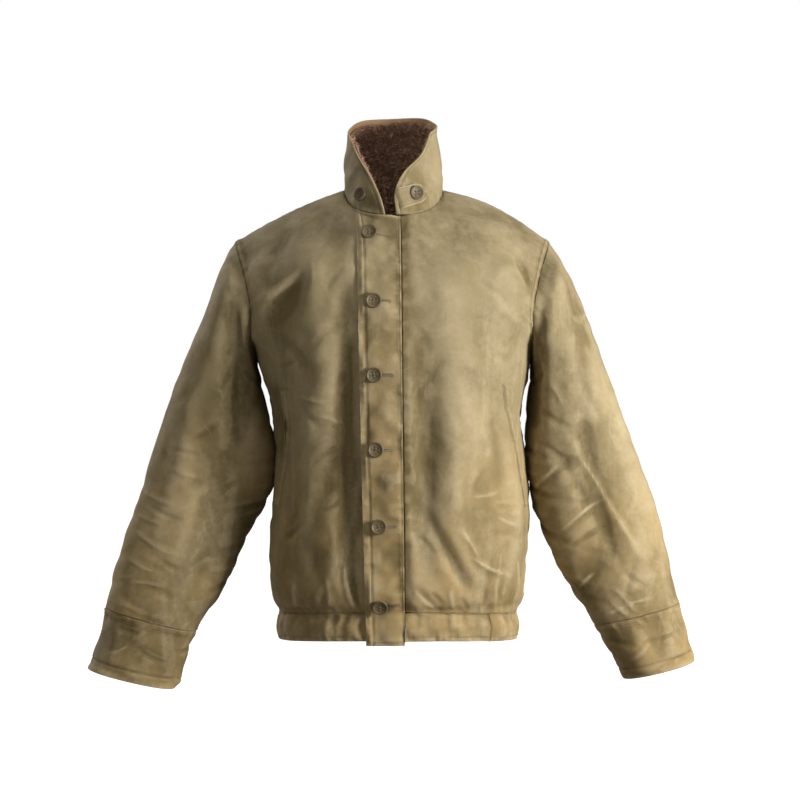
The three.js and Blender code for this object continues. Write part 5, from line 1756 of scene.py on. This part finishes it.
class MakeBack(bpy.types.Operator):
    """Make the one-piece back."""

    bl_idname = "jacket.back"
    bl_label = "Back"

    def execute(self, context):
        ats = panel_ats(BACK_STEP)
        u, at = back_grid(ats)
        back = Cloth(body_point(u, at, "back"), -1)
        dress_panel(back, ("left", "right"), 15, ats, u)
        pieces["back"] = back.settle()
        cloth_piece("back", back, dict(left=0.95, right=0.95))
        return {"FINISHED"}


class MakeHemBands(bpy.types.Operator):
    """Make the four pieces of the hem band."""

    bl_idname = "jacket.hem_bands"
    bl_label = "Hem bands"

    def execute(self, context):
        ats = mix(HEM_AT, 0, graded(40, 1.6))
        joint = np.full(len(ats), mix(NECK_SHARE, 1, 1 / 7))
        inner_u = section(front_left_grid(ats)[0][:, 0], joint, graded(118, 1.9))
        outer_u = section(joint, np.ones(len(ats)), graded(128, 1.9))
        right_u, right_at = front_right_grid(ats, 1.9)
        back_u, back_at = back_grid(ats, 2.2)
        bands = {
            "hem_band_left_front": left_front_point(inner_u, widened(ats, inner_u)),
            "hem_band_left_side": left_front_point(outer_u, widened(ats, outer_u)),
            "hem_band_right": body_point(right_u, right_at, "front"),
            "hem_band_back": body_point(back_u, back_at, "back"),
        }
        for seed, (name, points) in enumerate(bands.items()):
            band = Cloth(points, -1 if name == "hem_band_back" else 1)
            broad = 1.1 * waves(points, 17, 60 + seed) + 0.8 * waves(points, 9, 65 + seed)
            band.height += broad * seam_fade(band, 7)
            band.crimp("top", 70 + seed, 26, 8.0, 3.4)
            band.crimp("low", 80 + seed, 10, 4.6, 2.6)
            band.darken_row("top", 75 + seed)
            band.darken_row("low", 76 + seed, BAND_ROWS["low"], 1.3, 2.5)
            band.groove("top", BAND_ROWS["top"])
            band.groove("low", BAND_ROWS["low"], 0.45, 1.0)
            if name == "hem_band_right":
                tuck_under(band, right_at)
            pieces[name] = band.settle()
            cloth_piece(name, band, dict(low=1.15), tan=name == "hem_band_left_side", free=("low",))
        return {"FINISHED"}


class MakeSleeves(bpy.types.Operator):
    """Make both sleeves with their elbow creases."""

    bl_idname = "jacket.sleeves"
    bl_label = "Sleeves"

    def execute(self, context):
        for side, name in ((1, "sleeve_left"), (-1, "sleeve_right")):
            share, run = np.meshgrid(graded(330, 2.4)[:-1], CUFF_RUN * graded(440, 2.4))
            sleeve = Cloth(sleeve_point(side, share, run), -side, wrap=True)
            fade = seam_fade(sleeve, 14, ("low", "top"))
            tables = SLEEVE_FOLDS[side], SLEEVE_SOFT_FOLDS[side], SLEEVE_CREASES[side]
            crease_cloth(sleeve, *tables, fade, 31 + side, run=ACROSS_SLEEVE)
            rings = ring_height(SLEEVE_RINGS[side], share, run) * fade
            sleeve.height += rings
            sleeve.rise += rings * 1.3
            sleeve.crimp("low", 41 + side, 18, 6.5, 1.5)
            sleeve.crimp("top", 44 + side, 14, 6.0, 1.4)
            sleeve.darken_row("low", 47 + side, 0.0, 3.0)
            sleeve.darken_row("top", 48 + side, 0.0, 3.0, 4.5)
            sleeve.darken_row("right", 49 + side, 8.0, 1.3, 2.5)
            # Painted shade: the sleeve's inner side, towards the body, is painted darker, fading out above
            # the cuff.
            under_arm = (share + 0.5) % 1 - 0.5 - side * 0.03
            sleeve.darkening -= 3.6 * np.exp(-((under_arm / 0.17) ** 2)) * (1 - smoothstep(run, 330, CUFF_RUN))
            sleeve.height += groove(np.minimum(sleeve.left, sleeve.right), 0.0, 0.5)
            for row in SLEEVE_SEAM_ROWS:
                sleeve.groove("right", row, 0.35)
            sleeve.height += felled(sleeve.right, 8.5, 0.6) * smoothstep(sleeve.low, 0, 6)
            pieces[name] = sleeve.settle()
            cloth_piece(name, sleeve, dict(low=0.95))
        return {"FINISHED"}


class MakeCuffs(bpy.types.Operator):
    """Make the two cuff bands."""

    bl_idname = "jacket.cuffs"
    bl_label = "Cuffs"

    def execute(self, context):
        for side, name in ((1, "cuff_left"), (-1, "cuff_right")):
            runs = mix(CUFF_RUN, SLEEVE_END, graded(85, 1.9))
            share, run = np.meshgrid(graded(270, 1.9)[:-1], runs)
            cuff = Cloth(sleeve_point(side, share, run), -side, wrap=True)
            fade = seam_fade(cuff, 10, ("low", "top"))
            tables = SLEEVE_FOLDS[side], SLEEVE_SOFT_FOLDS[side], SLEEVE_CREASES[side]
            crease_cloth(cuff, *tables, fade, 51 + side, lively=1.1, run=ACROSS_SLEEVE)
            rings = ring_height(SLEEVE_RINGS[side], share, run) * smoothstep(cuff.top, 0, 12)
            cuff.height += rings
            cuff.rise += rings * 1.5
            cuff.crimp("low", 54 + side, 14, 6.0, 1.7)
            cuff.crimp("top", 57 + side, 10, 6.0)
            cuff.height += 1.3 * waves(cuff.points, 15, 62 + side, stretch=(1, 1, 0.7)) * fade
            cuff.groove("low", CUFF_SEAM_ROWS[0])
            cuff.groove("low", CUFF_SEAM_ROWS[1], 0.35)
            cuff.groove("top", CUFF_ROW, 0.9, 1.5)
            cuff.darken_row("low", 66 + side)
            cuff.darken_row("top", 68 + side, CUFF_ROW, 1.6, 4.0)
            cuff.height += felled(cuff.low, 9.0, 0.6)
            pieces[name] = cuff.settle()
            cloth_piece(name, cuff, dict(top=1.15), tan=True, free=("top",))
        return {"FINISHED"}


def collar_limit(side):
    """The degrees about the neck at which a leaf of the collar ends."""
    off = abs(COLLAR_EDGES[side][0][1] - NECK["middle_x"]) / NECK["half"]
    return side * (180 - np.degrees(np.arcsin(off)))


COLLAR_START, COLLAR_END = collar_limit(-1), collar_limit(1)


class MakeCollar(bpy.types.Operator):
    """Make the stand collar's shell with the facing inside its edge."""

    bl_idname = "jacket.collar"
    bl_label = "Collar"

    def execute(self, context):
        around, up = np.meshgrid(mix(COLLAR_START, COLLAR_END, graded(430, 2.0)), graded(125, 2.0))
        collar = Cloth(collar_point(around, up), -1)
        broad = 1.0 * waves(collar.points, 20, 91) + 0.4 * waves(collar.points, 9, 92)
        collar.height += broad * seam_fade(collar, 9)
        collar.crimp("low", 93, 12, scale=1.3)
        collar.crimp("top", 94, 9)
        free = ("left", "right", "top")
        for edge in free:
            collar.groove(edge, COLLAR_ROW, 0.85, 1.4)
            collar.darken_row(edge, 97, COLLAR_ROW, 1.5, 4.0)
        collar.darken_row("low", 98, 0.0, 3.0, 4.0)
        pieces["collar"] = collar.settle()
        cloth_piece("collar", collar, dict.fromkeys(free, 1.15), inner_step=2, facing_rows=60, free=free)
        return {"FINISHED"}


class MakePile(bpy.types.Operator):
    """Make the pile lining of the collar: its ground and its fibres."""

    bl_idname = "jacket.pile"
    bl_label = "Pile lining"

    def execute(self, context):
        around, share = np.meshgrid(mix(-170, 169, graded(400, 2.6)), graded(130, 2.6))
        below = PILE_BELOW * (1 - smoothstep(np.abs(around), 105, 150))
        ground = Cloth(collar_point(around, mix(-below, 1 - 0.7 * FACING, share)), -1)
        lumps = 0.9 * waves(ground.points, 8, 95) + 0.5 * waves(ground.points, 4.5, 96)
        thick = in_mm("pile_wall")
        inset = in_mm("cloth") + LAP_GAP
        inside = Cloth(ground.points - ground.normals * (inset + thick - 2.2), 1)
        inside.height += lumps * seam_fade(inside, 4)
        inside.settle()
        rounds = dict(left=1.2, right=1.2, low=1.0, top=1.2)
        obj = wall("collar_pile_ground", inside, thick - 2.4, rounds, materials=[pile_material()] * 2)
        belong(obj, "pile", "collar_lining")
        cut_sheet("collar_lining")
        points = inside.surface.reshape(-1, 3)
        index = np.arange(len(points)).reshape(inside.surface.shape[:2])[:, PILE_MARGIN:-PILE_MARGIN]
        corners = [index[:-1, :-1], index[1:, :-1], index[1:, 1:], index[:-1, 1:]]
        faces = np.stack(corners, -1).reshape(-1, 4)
        skin = bpy.data.meshes.new("collar_pile_fibres")
        skin.from_pydata((points * MM).tolist(), [], faces.tolist())
        middle = faces[len(faces) // 2]
        a, b, c = points[middle[:3]]
        if np.dot(np.cross(b - a, c - b), inside.normals.reshape(-1, 3)[middle[0]]) < 0:
            skin.flip_normals()
        fibres = new_object("collar_pile_fibres", skin)
        lengths = dict(Fibre=sizes().fibre, Density=sizes().fibre_density)
        belong(grown(fibres, pile_tree(), Seed=5, Material=pile_material(), **lengths), "pile")
        return {"FINISHED"}


def placket_surface():
    ats = mix(PLACKET["hem_at"], PLACKET["top_at"] + 4.6, graded(600, 2.0))
    free = column_at(placket_x(ats, "free_hem", "free_top"), ats)
    seam = column_at(placket_x(ats, "seam_hem", "seam_top"), ats)
    u = section(free, seam, graded(56, 1.7))
    return Cloth(body_point(u, widened(ats, u), "front"), 1)


class MakePlacket(bpy.types.Operator):
    """Make the placket that laps over the right front."""

    bl_idname = "jacket.placket"
    bl_label = "Placket"

    def execute(self, context):
        placket = placket_surface()
        placket.height += placket_waves(placket.points) * seam_fade(placket, 8)
        placket.height -= 0.8 * placket_valley(placket.right, placket.low)
        placket.crimp("left", 103, 11, 6.5, 1.6)
        placket.crimp("right", 104, 15, 8.0, 4.0)
        # Painted shadow: the placket is darker along its seam edge.
        placket.darken_row("right", 105, 0.0, 3.6, 5.0)
        placket.darken_row("left", 106, PLACKET_ROWS["inner"], 1.5, 4.0)
        placket.darken_row("top", 107, PLACKET_ROWS["top"], 1.4, 3.0)
        placket.groove("left", PLACKET_ROWS["inner"], 1.0, 1.5)
        placket.groove("right", 2.8, 0.5)
        placket.groove("left", PLACKET_ROWS["edge"], 0.3)
        placket.groove("top", PLACKET_ROWS["top"])
        placket.groove("low", PLACKET_ROWS["low"])
        pieces["placket"] = placket.settle(LAP_GAP + in_mm("cloth"))
        rounds = dict(left=1.15, low=1.15, top=1.15, right=1.9)
        cloth_piece("placket", placket, rounds, tan=True, inner_step=2, free=("left", "low", "top"))
        return {"FINISHED"}


def welt_surface(side):
    welt = WELTS[side]
    top_u, top_at = find_on_front(*welt["top"])
    bottom_u, bottom_at = find_on_front(*welt["bottom"])
    t = graded(175, 1.9)
    across = side * WELT_WIDTH / ACROSS * graded(23, 1.6)
    u = mix(bottom_u, top_u, t)[:, None] + across[None]
    at = widened(mix(bottom_at, top_at, t), u)
    points = left_front_point(u, at) if side > 0 else body_point(u, at, "front")
    return Cloth(points, side), u, at


class MakeWelts(bpy.types.Operator):
    """Make the slanted pocket welts."""

    bl_idname = "jacket.welts"
    bl_label = "Pocket welts"

    def execute(self, context):
        for side, name in ((1, "pocket_welt_left"), (-1, "pocket_welt_right")):
            welt, u, at = welt_surface(side)
            p = welt.points
            fade = smoothstep((1 - np.abs(u)) * ACROSS, 0, 14)
            crease_cloth(welt, FOLDS, SOFT_FOLDS, CREASES, fade, 11 if side > 0 else 12)
            welt.height += side_ring_height(u, at) + 0.3 + 0.25 * waves(p, 9, 111 + side)
            out = 1.6 * LAP_GAP + in_mm("welt_cloth")
            sunk = mix(-out - 0.2, 0, smoothstep(welt.left, -1.0, 7.0))
            for edge in ("low", "top"):
                sunk = np.minimum(sunk, mix(-out, 0, smoothstep(getattr(welt, edge), -1.0, 5.0)))
            welt.height += np.minimum(sunk, mix(0.4 - out, 0, smoothstep(welt.right, -1.0, 5.0)))
            for edge in ("left", "right"):
                welt.crimp(edge, 113 + side, 8)
                welt.groove(edge, WELT_ROW, 0.35, 0.8)
                welt.darken_row(edge, 115 + side, WELT_ROW, 1.2, 3.0)
            pieces[name] = welt.settle(out)
            cloth_piece(name, welt, dict.fromkeys(EDGES, 0.75), "welt_cloth", inner_step=2)
        return {"FINISHED"}


class MakeTab(bpy.types.Operator):
    """Make the throat tab on the collar's left leaf."""

    bl_idname = "jacket.tab"
    bl_label = "Throat tab"

    def execute(self, context):
        start, end = np.array(TAB["start"], float), np.array(TAB["end"], float)
        along = (end - start) / np.linalg.norm(end - start)
        last = [0.925, 0.95, 0.97, 0.985, 0.995, 1.0]
        t = np.concatenate([mix(0, 0.9, graded(38, 1.5, True, False)), last])
        share = 2 * graded(28, 1.5) - 1
        past = np.clip((t - TAB["round_from"]) / (1 - TAB["round_from"]), 0, 1)
        half = mix(TAB["start_half"], TAB["end_half"], t) * np.sqrt(1 - 0.9 * past**2)
        x = mix(start[0], end[0], t)[:, None] - share[None] * half[:, None] * along[1]
        z = mix(start[1], end[1], t)[:, None] + share[None] * half[:, None] * along[0]
        around, up = find_on_collar(x, z, np.full(x.shape, 150.0), np.full(x.shape, 0.3), 25)
        tab = Cloth(collar_point(np.minimum(around, COLLAR_END - 0.8), up), -1)
        out = LAP_GAP + in_mm("welt_cloth")
        tab.height += 0.6 + 0.35 * waves(tab.points, 14, 121) * seam_fade(tab, 5)
        tab.height += mix(-out, 0, smoothstep(tab.low, -1.0, 6.0))
        free = ("left", "right", "top")
        for edge in free:
            tab.groove(edge, TAB_ROW, 0.35, 0.8)
            tab.darkening += darkened_band(getattr(tab, edge), tab.low, 122, TAB_ROW, 1.2, 4.0)
        pieces["throat_tab"] = tab.settle(out)
        cloth_piece("throat_tab", tab, dict.fromkeys(EDGES, 0.75), "welt_cloth", inner_step=2, free=free)
        return {"FINISHED"}


def button_mesh(name):
    """A turned button with a raised rim and a dished middle, in millimetres about its axis."""
    b = BUTTON_SIZE
    face, rim = b["stand"] + b["thick"], b["stand"] + b["thick"] + b["rim_height"]
    profile = [
        (0.0, b["stand"]),
        (b["radius"] - 2.2, b["stand"]),
        (b["radius"] - 0.7, b["stand"] + 0.5),
        (b["radius"] - 0.15, b["stand"] + 1.4),
        (b["radius"], b["stand"] + 2.4),
        (b["radius"] - 0.1, rim - 0.7),
        (b["radius"] - 0.45, rim - 0.2),
        (b["radius"] - 1.0, rim),
        (b["radius"] - 1.7, rim - 0.1),
        (b["radius"] - b["rim"], rim - 0.55),
        (b["radius"] - b["rim"] - 0.8, face + 0.15),
        (b["radius"] - b["rim"] - 2.0, face - 0.1),
        (2.6, face - 0.35),
        (0.0, face - 0.35),
    ]
    bm = bmesh.new()
    ring = [bm.verts.new((r, 0, z)) for r, z in profile]
    edges = [bm.edges.new(pair) for pair in zip(ring, ring[1:])]
    turn = dict(axis=(0, 0, 1), cent=(0, 0, 0), steps=56, angle=2 * np.pi)
    bmesh.ops.spin(bm, geom=ring + edges, use_merge=True, **turn)
    bmesh.ops.remove_doubles(bm, verts=bm.verts, dist=1e-4)
    bmesh.ops.recalc_face_normals(bm, faces=bm.faces)
    return mesh_of(bm, name)


def pierced(mesh):
    """Cuts the four thread holes into a button's mesh."""
    holes = bmesh.new()
    for x in (-1, 1):
        for y in (-1, 1):
            move = Matrix.Translation((x * HOLE_SPREAD / 2, y * HOLE_SPREAD / 2, BUTTON_SIZE["stand"] + 3.1))
            radii = dict(radius1=HOLE_RADIUS, radius2=HOLE_RADIUS)
            bmesh.ops.create_cone(holes, cap_ends=True, segments=14, depth=4.6, matrix=move, **radii)
    cutter, blank = new_object("holes", mesh_of(holes, "holes")), new_object("blank", mesh)
    cut = blank.modifiers.new("holes", "BOOLEAN")
    cut.operation, cut.object, cut.solver = "DIFFERENCE", cutter, "EXACT"
    graph = bpy.context.evaluated_depsgraph_get()
    result = bpy.data.meshes.new_from_object(blank.evaluated_get(graph), depsgraph=graph)
    bpy.data.objects.remove(blank)
    bpy.data.objects.remove(cutter)
    result.polygons.foreach_set("use_smooth", [True] * len(result.polygons))
    return result


def upright(place, normal, turn):
    """Stands a thing made about Z on a place of the cloth, turned about the cloth's normal."""
    lift = Vector(normal).to_track_quat("Z", "Y").to_matrix().to_4x4()
    return Matrix.Scale(MM, 4) @ Matrix.Translation(Vector(place)) @ lift @ Matrix.Rotation(turn, 4, "Z")


def button_threads():
    """Two turns of thread over the bridge between each pair of holes."""
    bm = bmesh.new()
    height = BUTTON_SIZE["stand"] + BUTTON_SIZE["thick"] - 0.1
    half = HOLE_SPREAD / 2
    for row in (-1, 1):
        for shift in (-0.22, 0.22):
            rings = []
            for k in range(9):
                t = k / 8 * 2 - 1
                along, up = t * (half + 0.12), height + 0.42 - 1.5 * max(0.0, abs(t) - 0.72) / 0.28
                centre = np.array([along, row * half + shift, up])
                end = unit(np.array([0.35, 0, -np.sign(t) * 0.9]))
                tangent = np.array([1.0, 0, 0]) if abs(t) < 0.75 else end
                side = np.array([0.0, 1.0, 0.0])
                top = np.cross(tangent, side)
                turns = np.arange(6) * np.pi / 3
                spokes = [0.2 * (np.cos(a) * side + np.sin(a) * top) for a in turns]
                rings.append([bm.verts.new(centre + spoke) for spoke in spokes])
            for first, second in zip(rings, rings[1:]):
                for j in range(6):
                    bm.faces.new((first[j], first[(j + 1) % 6], second[(j + 1) % 6], second[j]))
            bm.faces.new(rings[0][::-1])
            bm.faces.new(rings[-1])
    bmesh.ops.recalc_face_normals(bm, faces=bm.faces)
    return mesh_of(bm, "button_thread")


class MakeButtons(bpy.types.Operator):
    """Make the turned buttons and the thread that holds them."""

    bl_idname = "jacket.buttons"
    bl_label = "Buttons"

    def execute(self, context):
        pattern = pierced(button_mesh("button"))
        rng = np.random.default_rng(7)
        spots = []
        for k, (x, z) in enumerate(PLACKET_BUTTONS):
            u, at = find_on_front(x, z)
            normal = unit(plain_normal(u, at, "front") + np.array([0.0, -0.6, 0.0]))
            place = body_point(u, at, "front") + normal * (LAP_GAP + in_mm("cloth") + 0.4)
            spots.append((f"button_{k + 1}", place, normal, 1.0))
        for name, x, z, forward, more in COLLAR_BUTTONS:
            around, up = find_on_collar(x, z, np.copysign(130.0, x), 0.5)
            across = collar_point(around + 1, up) - collar_point(around - 1, up)
            along = collar_point(around, up + 0.02) - collar_point(around, up - 0.02)
            normal = unit(np.array([0.0, forward, 0.0]) - unit(np.cross(across, along)))
            high = 0.5 + more * (LAP_GAP + in_mm("welt_cloth"))
            spots.append((name, collar_point(around, up) + normal * high, normal, 0.92))
        for name, place, normal, size in spots:
            turn = rng.uniform(-0.35, 0.35)
            stand = upright(place, normal + rng.uniform(-0.03, 0.03, 3), turn) @ Matrix.Scale(size, 4)
            mesh = pattern.copy()
            mesh.transform(stand)
            mesh.materials.append(button_material())
            belong(new_object(name + "_turned", mesh), "button", name)
            thread = button_threads()
            thread.transform(stand)
            thread.materials.append(thread_material())
            belong(new_object(name + "_thread", thread), "shell_cloth")
        return {"FINISHED"}


class MakeButtonholes(bpy.types.Operator):
    """Work the buttonholes of the placket and the tab in thread."""

    bl_idname = "jacket.buttonholes"
    bl_label = "Buttonholes"

    def execute(self, context):
        placket = pieces["placket"]
        rng = np.random.default_rng(21)
        rows, slits = [], []
        for (x, z), end in zip(PLACKET_BUTTONS, BUTTONHOLE_ENDS):
            row = nearest_row(placket, x, z)
            line, normals = placket.surface[row], placket.normals[row]
            xs = np.linspace(x - 4, end, 26)
            path = np.stack([np.interp(xs, line[:, 0], line[:, axis]) for axis in range(3)], -1)
            outward = unit(np.stack([np.interp(xs, line[:, 0], normals[:, axis]) for axis in range(3)], -1))
            down = unit(np.cross(outward, np.gradient(path, axis=0)))
            gap = 1.15
            upper, lower = path + down * gap, path - down * gap
            turn = np.linspace(np.pi / 2, -np.pi / 2, 9)[1:-1]
            along = unit(np.gradient(path, axis=0))[-1]
            cap = [path[-1] + along * gap * 1.25 * np.cos(a) + down[-1] * gap * np.sin(a) for a in turn]
            loop = np.concatenate([upper, cap, lower[::-1]])
            out = np.concatenate([outward, np.repeat(outward[-1:], len(cap), 0), outward[::-1]])
            rows.append((loop + out * 0.25, out))
            slits.append((path + outward * 0.1, outward, down))
        bars("buttonhole_thread", rows, 2.1, 3, True, 0.46, 0.22)
        # Painted shade: a thin near-black sheet lies in each buttonhole's slit.
        vertices, faces = [], []
        for path, outward, down in slits:
            first = len(vertices)
            half = 0.55 * np.sin(np.linspace(0.25, 1.0, len(path)) * np.pi * 0.9) + 0.2
            for k, p in enumerate(path):
                middle = p + outward[k] * 0.08
                vertices += [middle + down[k] * half[k], middle - down[k] * half[k]]
            steps = range(first, first + 2 * len(path) - 2, 2)
            faces += [(k, k + 1, k + 3, k + 2) for k in steps]
        a, b, c = (vertices[k] for k in faces[0][:3])
        if np.cross(b - a, c - b)[1] > 0:
            faces = [face[::-1] for face in faces]
        bm = bmesh.new()
        bm.from_mesh(mesh_from("buttonhole_sheet", vertices, faces))
        bmesh.ops.solidify(bm, geom=bm.faces[:], thickness=0.3 * MM)
        bmesh.ops.recalc_face_normals(bm, faces=bm.faces)
        slit = new_object("buttonhole_slits", mesh_of(bm, "buttonhole_slits"))
        slit.data.materials.append(once("buttonhole shade", shade_material))
        belong(slit, "shell_cloth")
        frays = []
        for path, outward, down in slits:
            for _ in range(9):
                k = int(rng.integers(len(path) - 6, len(path)))
                start = path[k] + down[k] * rng.uniform(-1.2, 1.2) + outward[k] * 0.3
                lean = down[k] * rng.uniform(-1, 1) + unit(path[-1] - path[0]) * rng.uniform(0.1, 1.0)
                length = rng.uniform(1.5, 4.5)
                t = np.linspace(0, 1, 5)[:, None]
                curl = outward[k] * 0.6 * np.sin(np.pi * t) + down[k] * rng.uniform(-0.6, 0.6) * t**2
                frays.append((start + lean * length * t + curl, np.repeat(outward[k][None], 5, 0)))
        sew("buttonhole_frays", frays, 9, True, 0.62)
        return {"FINISHED"}


def shade_material(name):
    s = Shading(name)
    shade = s.mixed(s.noise(s.place(), 500.0).step(0.3, 0.8), (0.012, 0.009, 0.006), (0.05, 0.038, 0.022))
    return s.finish(shade, 0.9, Specular_IOR_Level=0.1)


class MakeStitching(bpy.types.Operator):
    """Sew the visible rows of stitches and the bar tacks."""

    bl_idname = "jacket.stitching"
    bl_label = "Stitching"

    def execute(self, context):
        p = pieces
        armpit = armpit_share(panel_ats())
        rows = []
        for name, side in (("front_left", "right"), ("front_right", "left")):
            cloth = p[name]
            rows += [row_points(cloth, side, 2.2), row_points(cloth, side, 7.6, armpit)]
            rows += [row_points(cloth, "top", 2.0), row_points(cloth, "low", 1.6)]
        sew("stitches_fronts", rows, 1)
        back = p["back"]
        armpit = armpit_share(panel_ats(BACK_STEP))
        spans = ((2.2, armpit, 1.0), (7.6, armpit, 1.0), (2.2, 0.0, armpit))
        rows = [row_points(back, side, *span) for span in spans for side in ("left", "right")]
        rows += [row_points(back, "top", 2.0), row_points(back, "low", 1.6)]
        sew("stitches_back", rows, 2)
        rows = []
        for name in ("hem_band_left_front", "hem_band_left_side", "hem_band_right", "hem_band_back"):
            rows += [row_points(p[name], edge, inset) for edge, inset in BAND_ROWS.items()]
        rows.append(row_points(p["hem_band_left_side"], "left", 1.8))
        rows.append(row_points(p["hem_band_left_front"], "right", 1.8))
        sew("stitches_hem", rows, 3)
        for side in ("left", "right"):
            sleeve, cuff = p["sleeve_" + side], p["cuff_" + side]
            rows = [closed_row(*row_points(cuff, "low", inset)) for inset in CUFF_SEAM_ROWS]
            rows.append(closed_row(*row_points(cuff, "top", CUFF_ROW + 1.4)))
            rows.append(closed_row(*row_points(sleeve, "top", 2.0)))
            rows += [row_points(sleeve, "right", inset, 0.02, 0.98) for inset in SLEEVE_SEAM_ROWS]
            sew("stitches_sleeve_" + side, rows, 4)
        collar, tab = p["collar"], p["throat_tab"]
        rows = [row_points(collar, "top", COLLAR_ROW, 0.02, 0.98)]
        rows += [row_points(collar, edge, COLLAR_ROW, 0.0, 0.94) for edge in ("left", "right")]
        rows += [row_points(collar, "low", 2.4)]
        rows += [row_points(tab, edge, TAB_ROW, 0.05, 0.95) for edge in ("left", "right", "top")]
        sew("stitches_collar", rows, 5)
        inner, edge, top, low = (PLACKET_ROWS[name] for name in ("inner", "edge", "top", "low"))
        insets = (("left", inner), ("left", edge), ("right", 2.4), ("top", top), ("low", low))
        sew("stitches_placket", [row_points(p["placket"], *inset) for inset in insets], 6)
        rows, tacks = [], []
        for side in ("left", "right"):
            welt = p["pocket_welt_" + side]
            rows += [row_points(welt, "left", WELT_ROW), row_points(welt, "right", WELT_ROW)]
            for edge in ("low", "top"):
                rows.append(row_points(welt, edge, WELT_ROW, 0.1, 0.9))
                tacks.append(row_points(welt, edge, 1.4, 0.05, 0.95))
        sew("stitches_welts", rows, 7)
        bars("pocket_bar_tacks", tacks, 2.6, 8, False, 0.5, 0.1)
        return {"FINISHED"}


class MakeStage(bpy.types.Operator):
    """Make the pale floor, the studio light and the camera."""

    bl_idname = "jacket.stage"
    bl_label = "Stage"

    def execute(self, context):
        scene = bpy.context.scene
        camera = new_object("camera", bpy.data.cameras.new("camera"))
        camera.location, camera.rotation_euler = CAMERA_PLACE, (np.pi / 2, 0, 0)
        camera.data.sensor_width, camera.data.lens = SENSOR, SENSOR * -CAMERA_PLACE[1] / VIEW_WIDTH
        camera.data.dof.use_dof = False
        scene.camera = camera
        bm = bmesh.new()
        level = Matrix.Translation((0, 0, FLOOR_Z))
        bmesh.ops.create_circle(bm, cap_ends=True, segments=96, radius=FLOOR_RADIUS, matrix=level)
        mesh = bpy.data.meshes.new("floor")
        bm.to_mesh(mesh)
        bm.free()
        floor = new_object("floor", mesh)
        s = Shading("pale floor")
        cloud = s.noise(s.place(), 3.0, 2.0)
        shade = s.mixed(cloud.step(0.3, 0.7) * 0.25, colours().floor, [0.97 * v for v in colours().floor])
        glow = dict(Emission_Color=(1.0, 1.0, 1.0), Emission_Strength=FLOOR_GLOW)
        mesh.materials.append(s.finish(shade, 0.9, Specular_IOR_Level=0.1, **glow))
        floor.visible_diffuse = floor.visible_glossy = False
        world = bpy.data.worlds.new("studio")
        scene.world = world
        world.use_nodes = True
        nodes, links = world.node_tree.nodes, world.node_tree.links
        ambient, output = nodes["Background"], nodes["World Output"]
        ambient.inputs["Color"].default_value = AMBIENT["colour"]
        ambient.inputs["Strength"].default_value = AMBIENT["strength"]
        paper = nodes.new("ShaderNodeBackground")
        paper.inputs["Color"].default_value = (1.0, 1.0, 1.0, 1.0)
        seen, mixer = nodes.new("ShaderNodeLightPath"), nodes.new("ShaderNodeMixShader")
        links.new(seen.outputs["Is Camera Ray"], mixer.inputs[0])
        links.new(ambient.outputs[0], mixer.inputs[1])
        links.new(paper.outputs[0], mixer.inputs[2])
        links.new(mixer.outputs[0], output.inputs["Surface"])
        scene.view_settings.view_transform = "Standard"
        for name, kind, place, power, size in LIGHTS:
            light = bpy.data.lights.new(name, kind)
            light.energy, light.color = power, LIGHT_COLOUR
            setattr(light, "size" if kind == "AREA" else "angle", size)
            lamp = new_object(name, light)
            lamp.location, lamp.visible_camera = place, False
            lamp.rotation_euler = (Vector(place) - Vector(LIGHT_AIM)).to_track_quat("Z", "Y").to_euler()
        return {"FINISHED"}


class JacketPanel(bpy.types.Panel):
    """Lists the steps that make the jacket, with its sizes and colours."""

    bl_idname = "VIEW3D_PT_jacket"
    bl_label = "Waxed field jacket"
    bl_space_type = "VIEW_3D"
    bl_region_type = "UI"
    bl_category = "Jacket"

    def draw(self, context):
        layout = self.layout
        for group in (context.scene.jacket_sizes, context.scene.jacket_colours):
            box = layout.box()
            for key in group.__annotations__:
                box.prop(group, key)
        for operator in OPERATORS:
            layout.operator(operator.bl_idname)


OPERATORS = (
    MakeStage,
    MakeFronts,
    MakeBack,
    MakeHemBands,
    MakeSleeves,
    MakeCuffs,
    MakeCollar,
    MakePile,
    MakePlacket,
    MakeWelts,
    MakeTab,
    MakeButtons,
    MakeButtonholes,
    MakeStitching,
)
CLASSES = (JacketSizes, JacketColours, *OPERATORS, JacketPanel)


def register():
    for cls in CLASSES:
        bpy.utils.register_class(cls)
    bpy.types.Scene.jacket_sizes = bpy.props.PointerProperty(type=JacketSizes)
    bpy.types.Scene.jacket_colours = bpy.props.PointerProperty(type=JacketColours)


def unregister():
    del bpy.types.Scene.jacket_colours
    del bpy.types.Scene.jacket_sizes
    for cls in reversed(CLASSES):
        bpy.utils.unregister_class(cls)


def main():
    register()
    for operator in OPERATORS:
        group, name = operator.bl_idname.split(".")
        getattr(getattr(bpy.ops, group), name)()


if __name__ == "__main__":
    main()
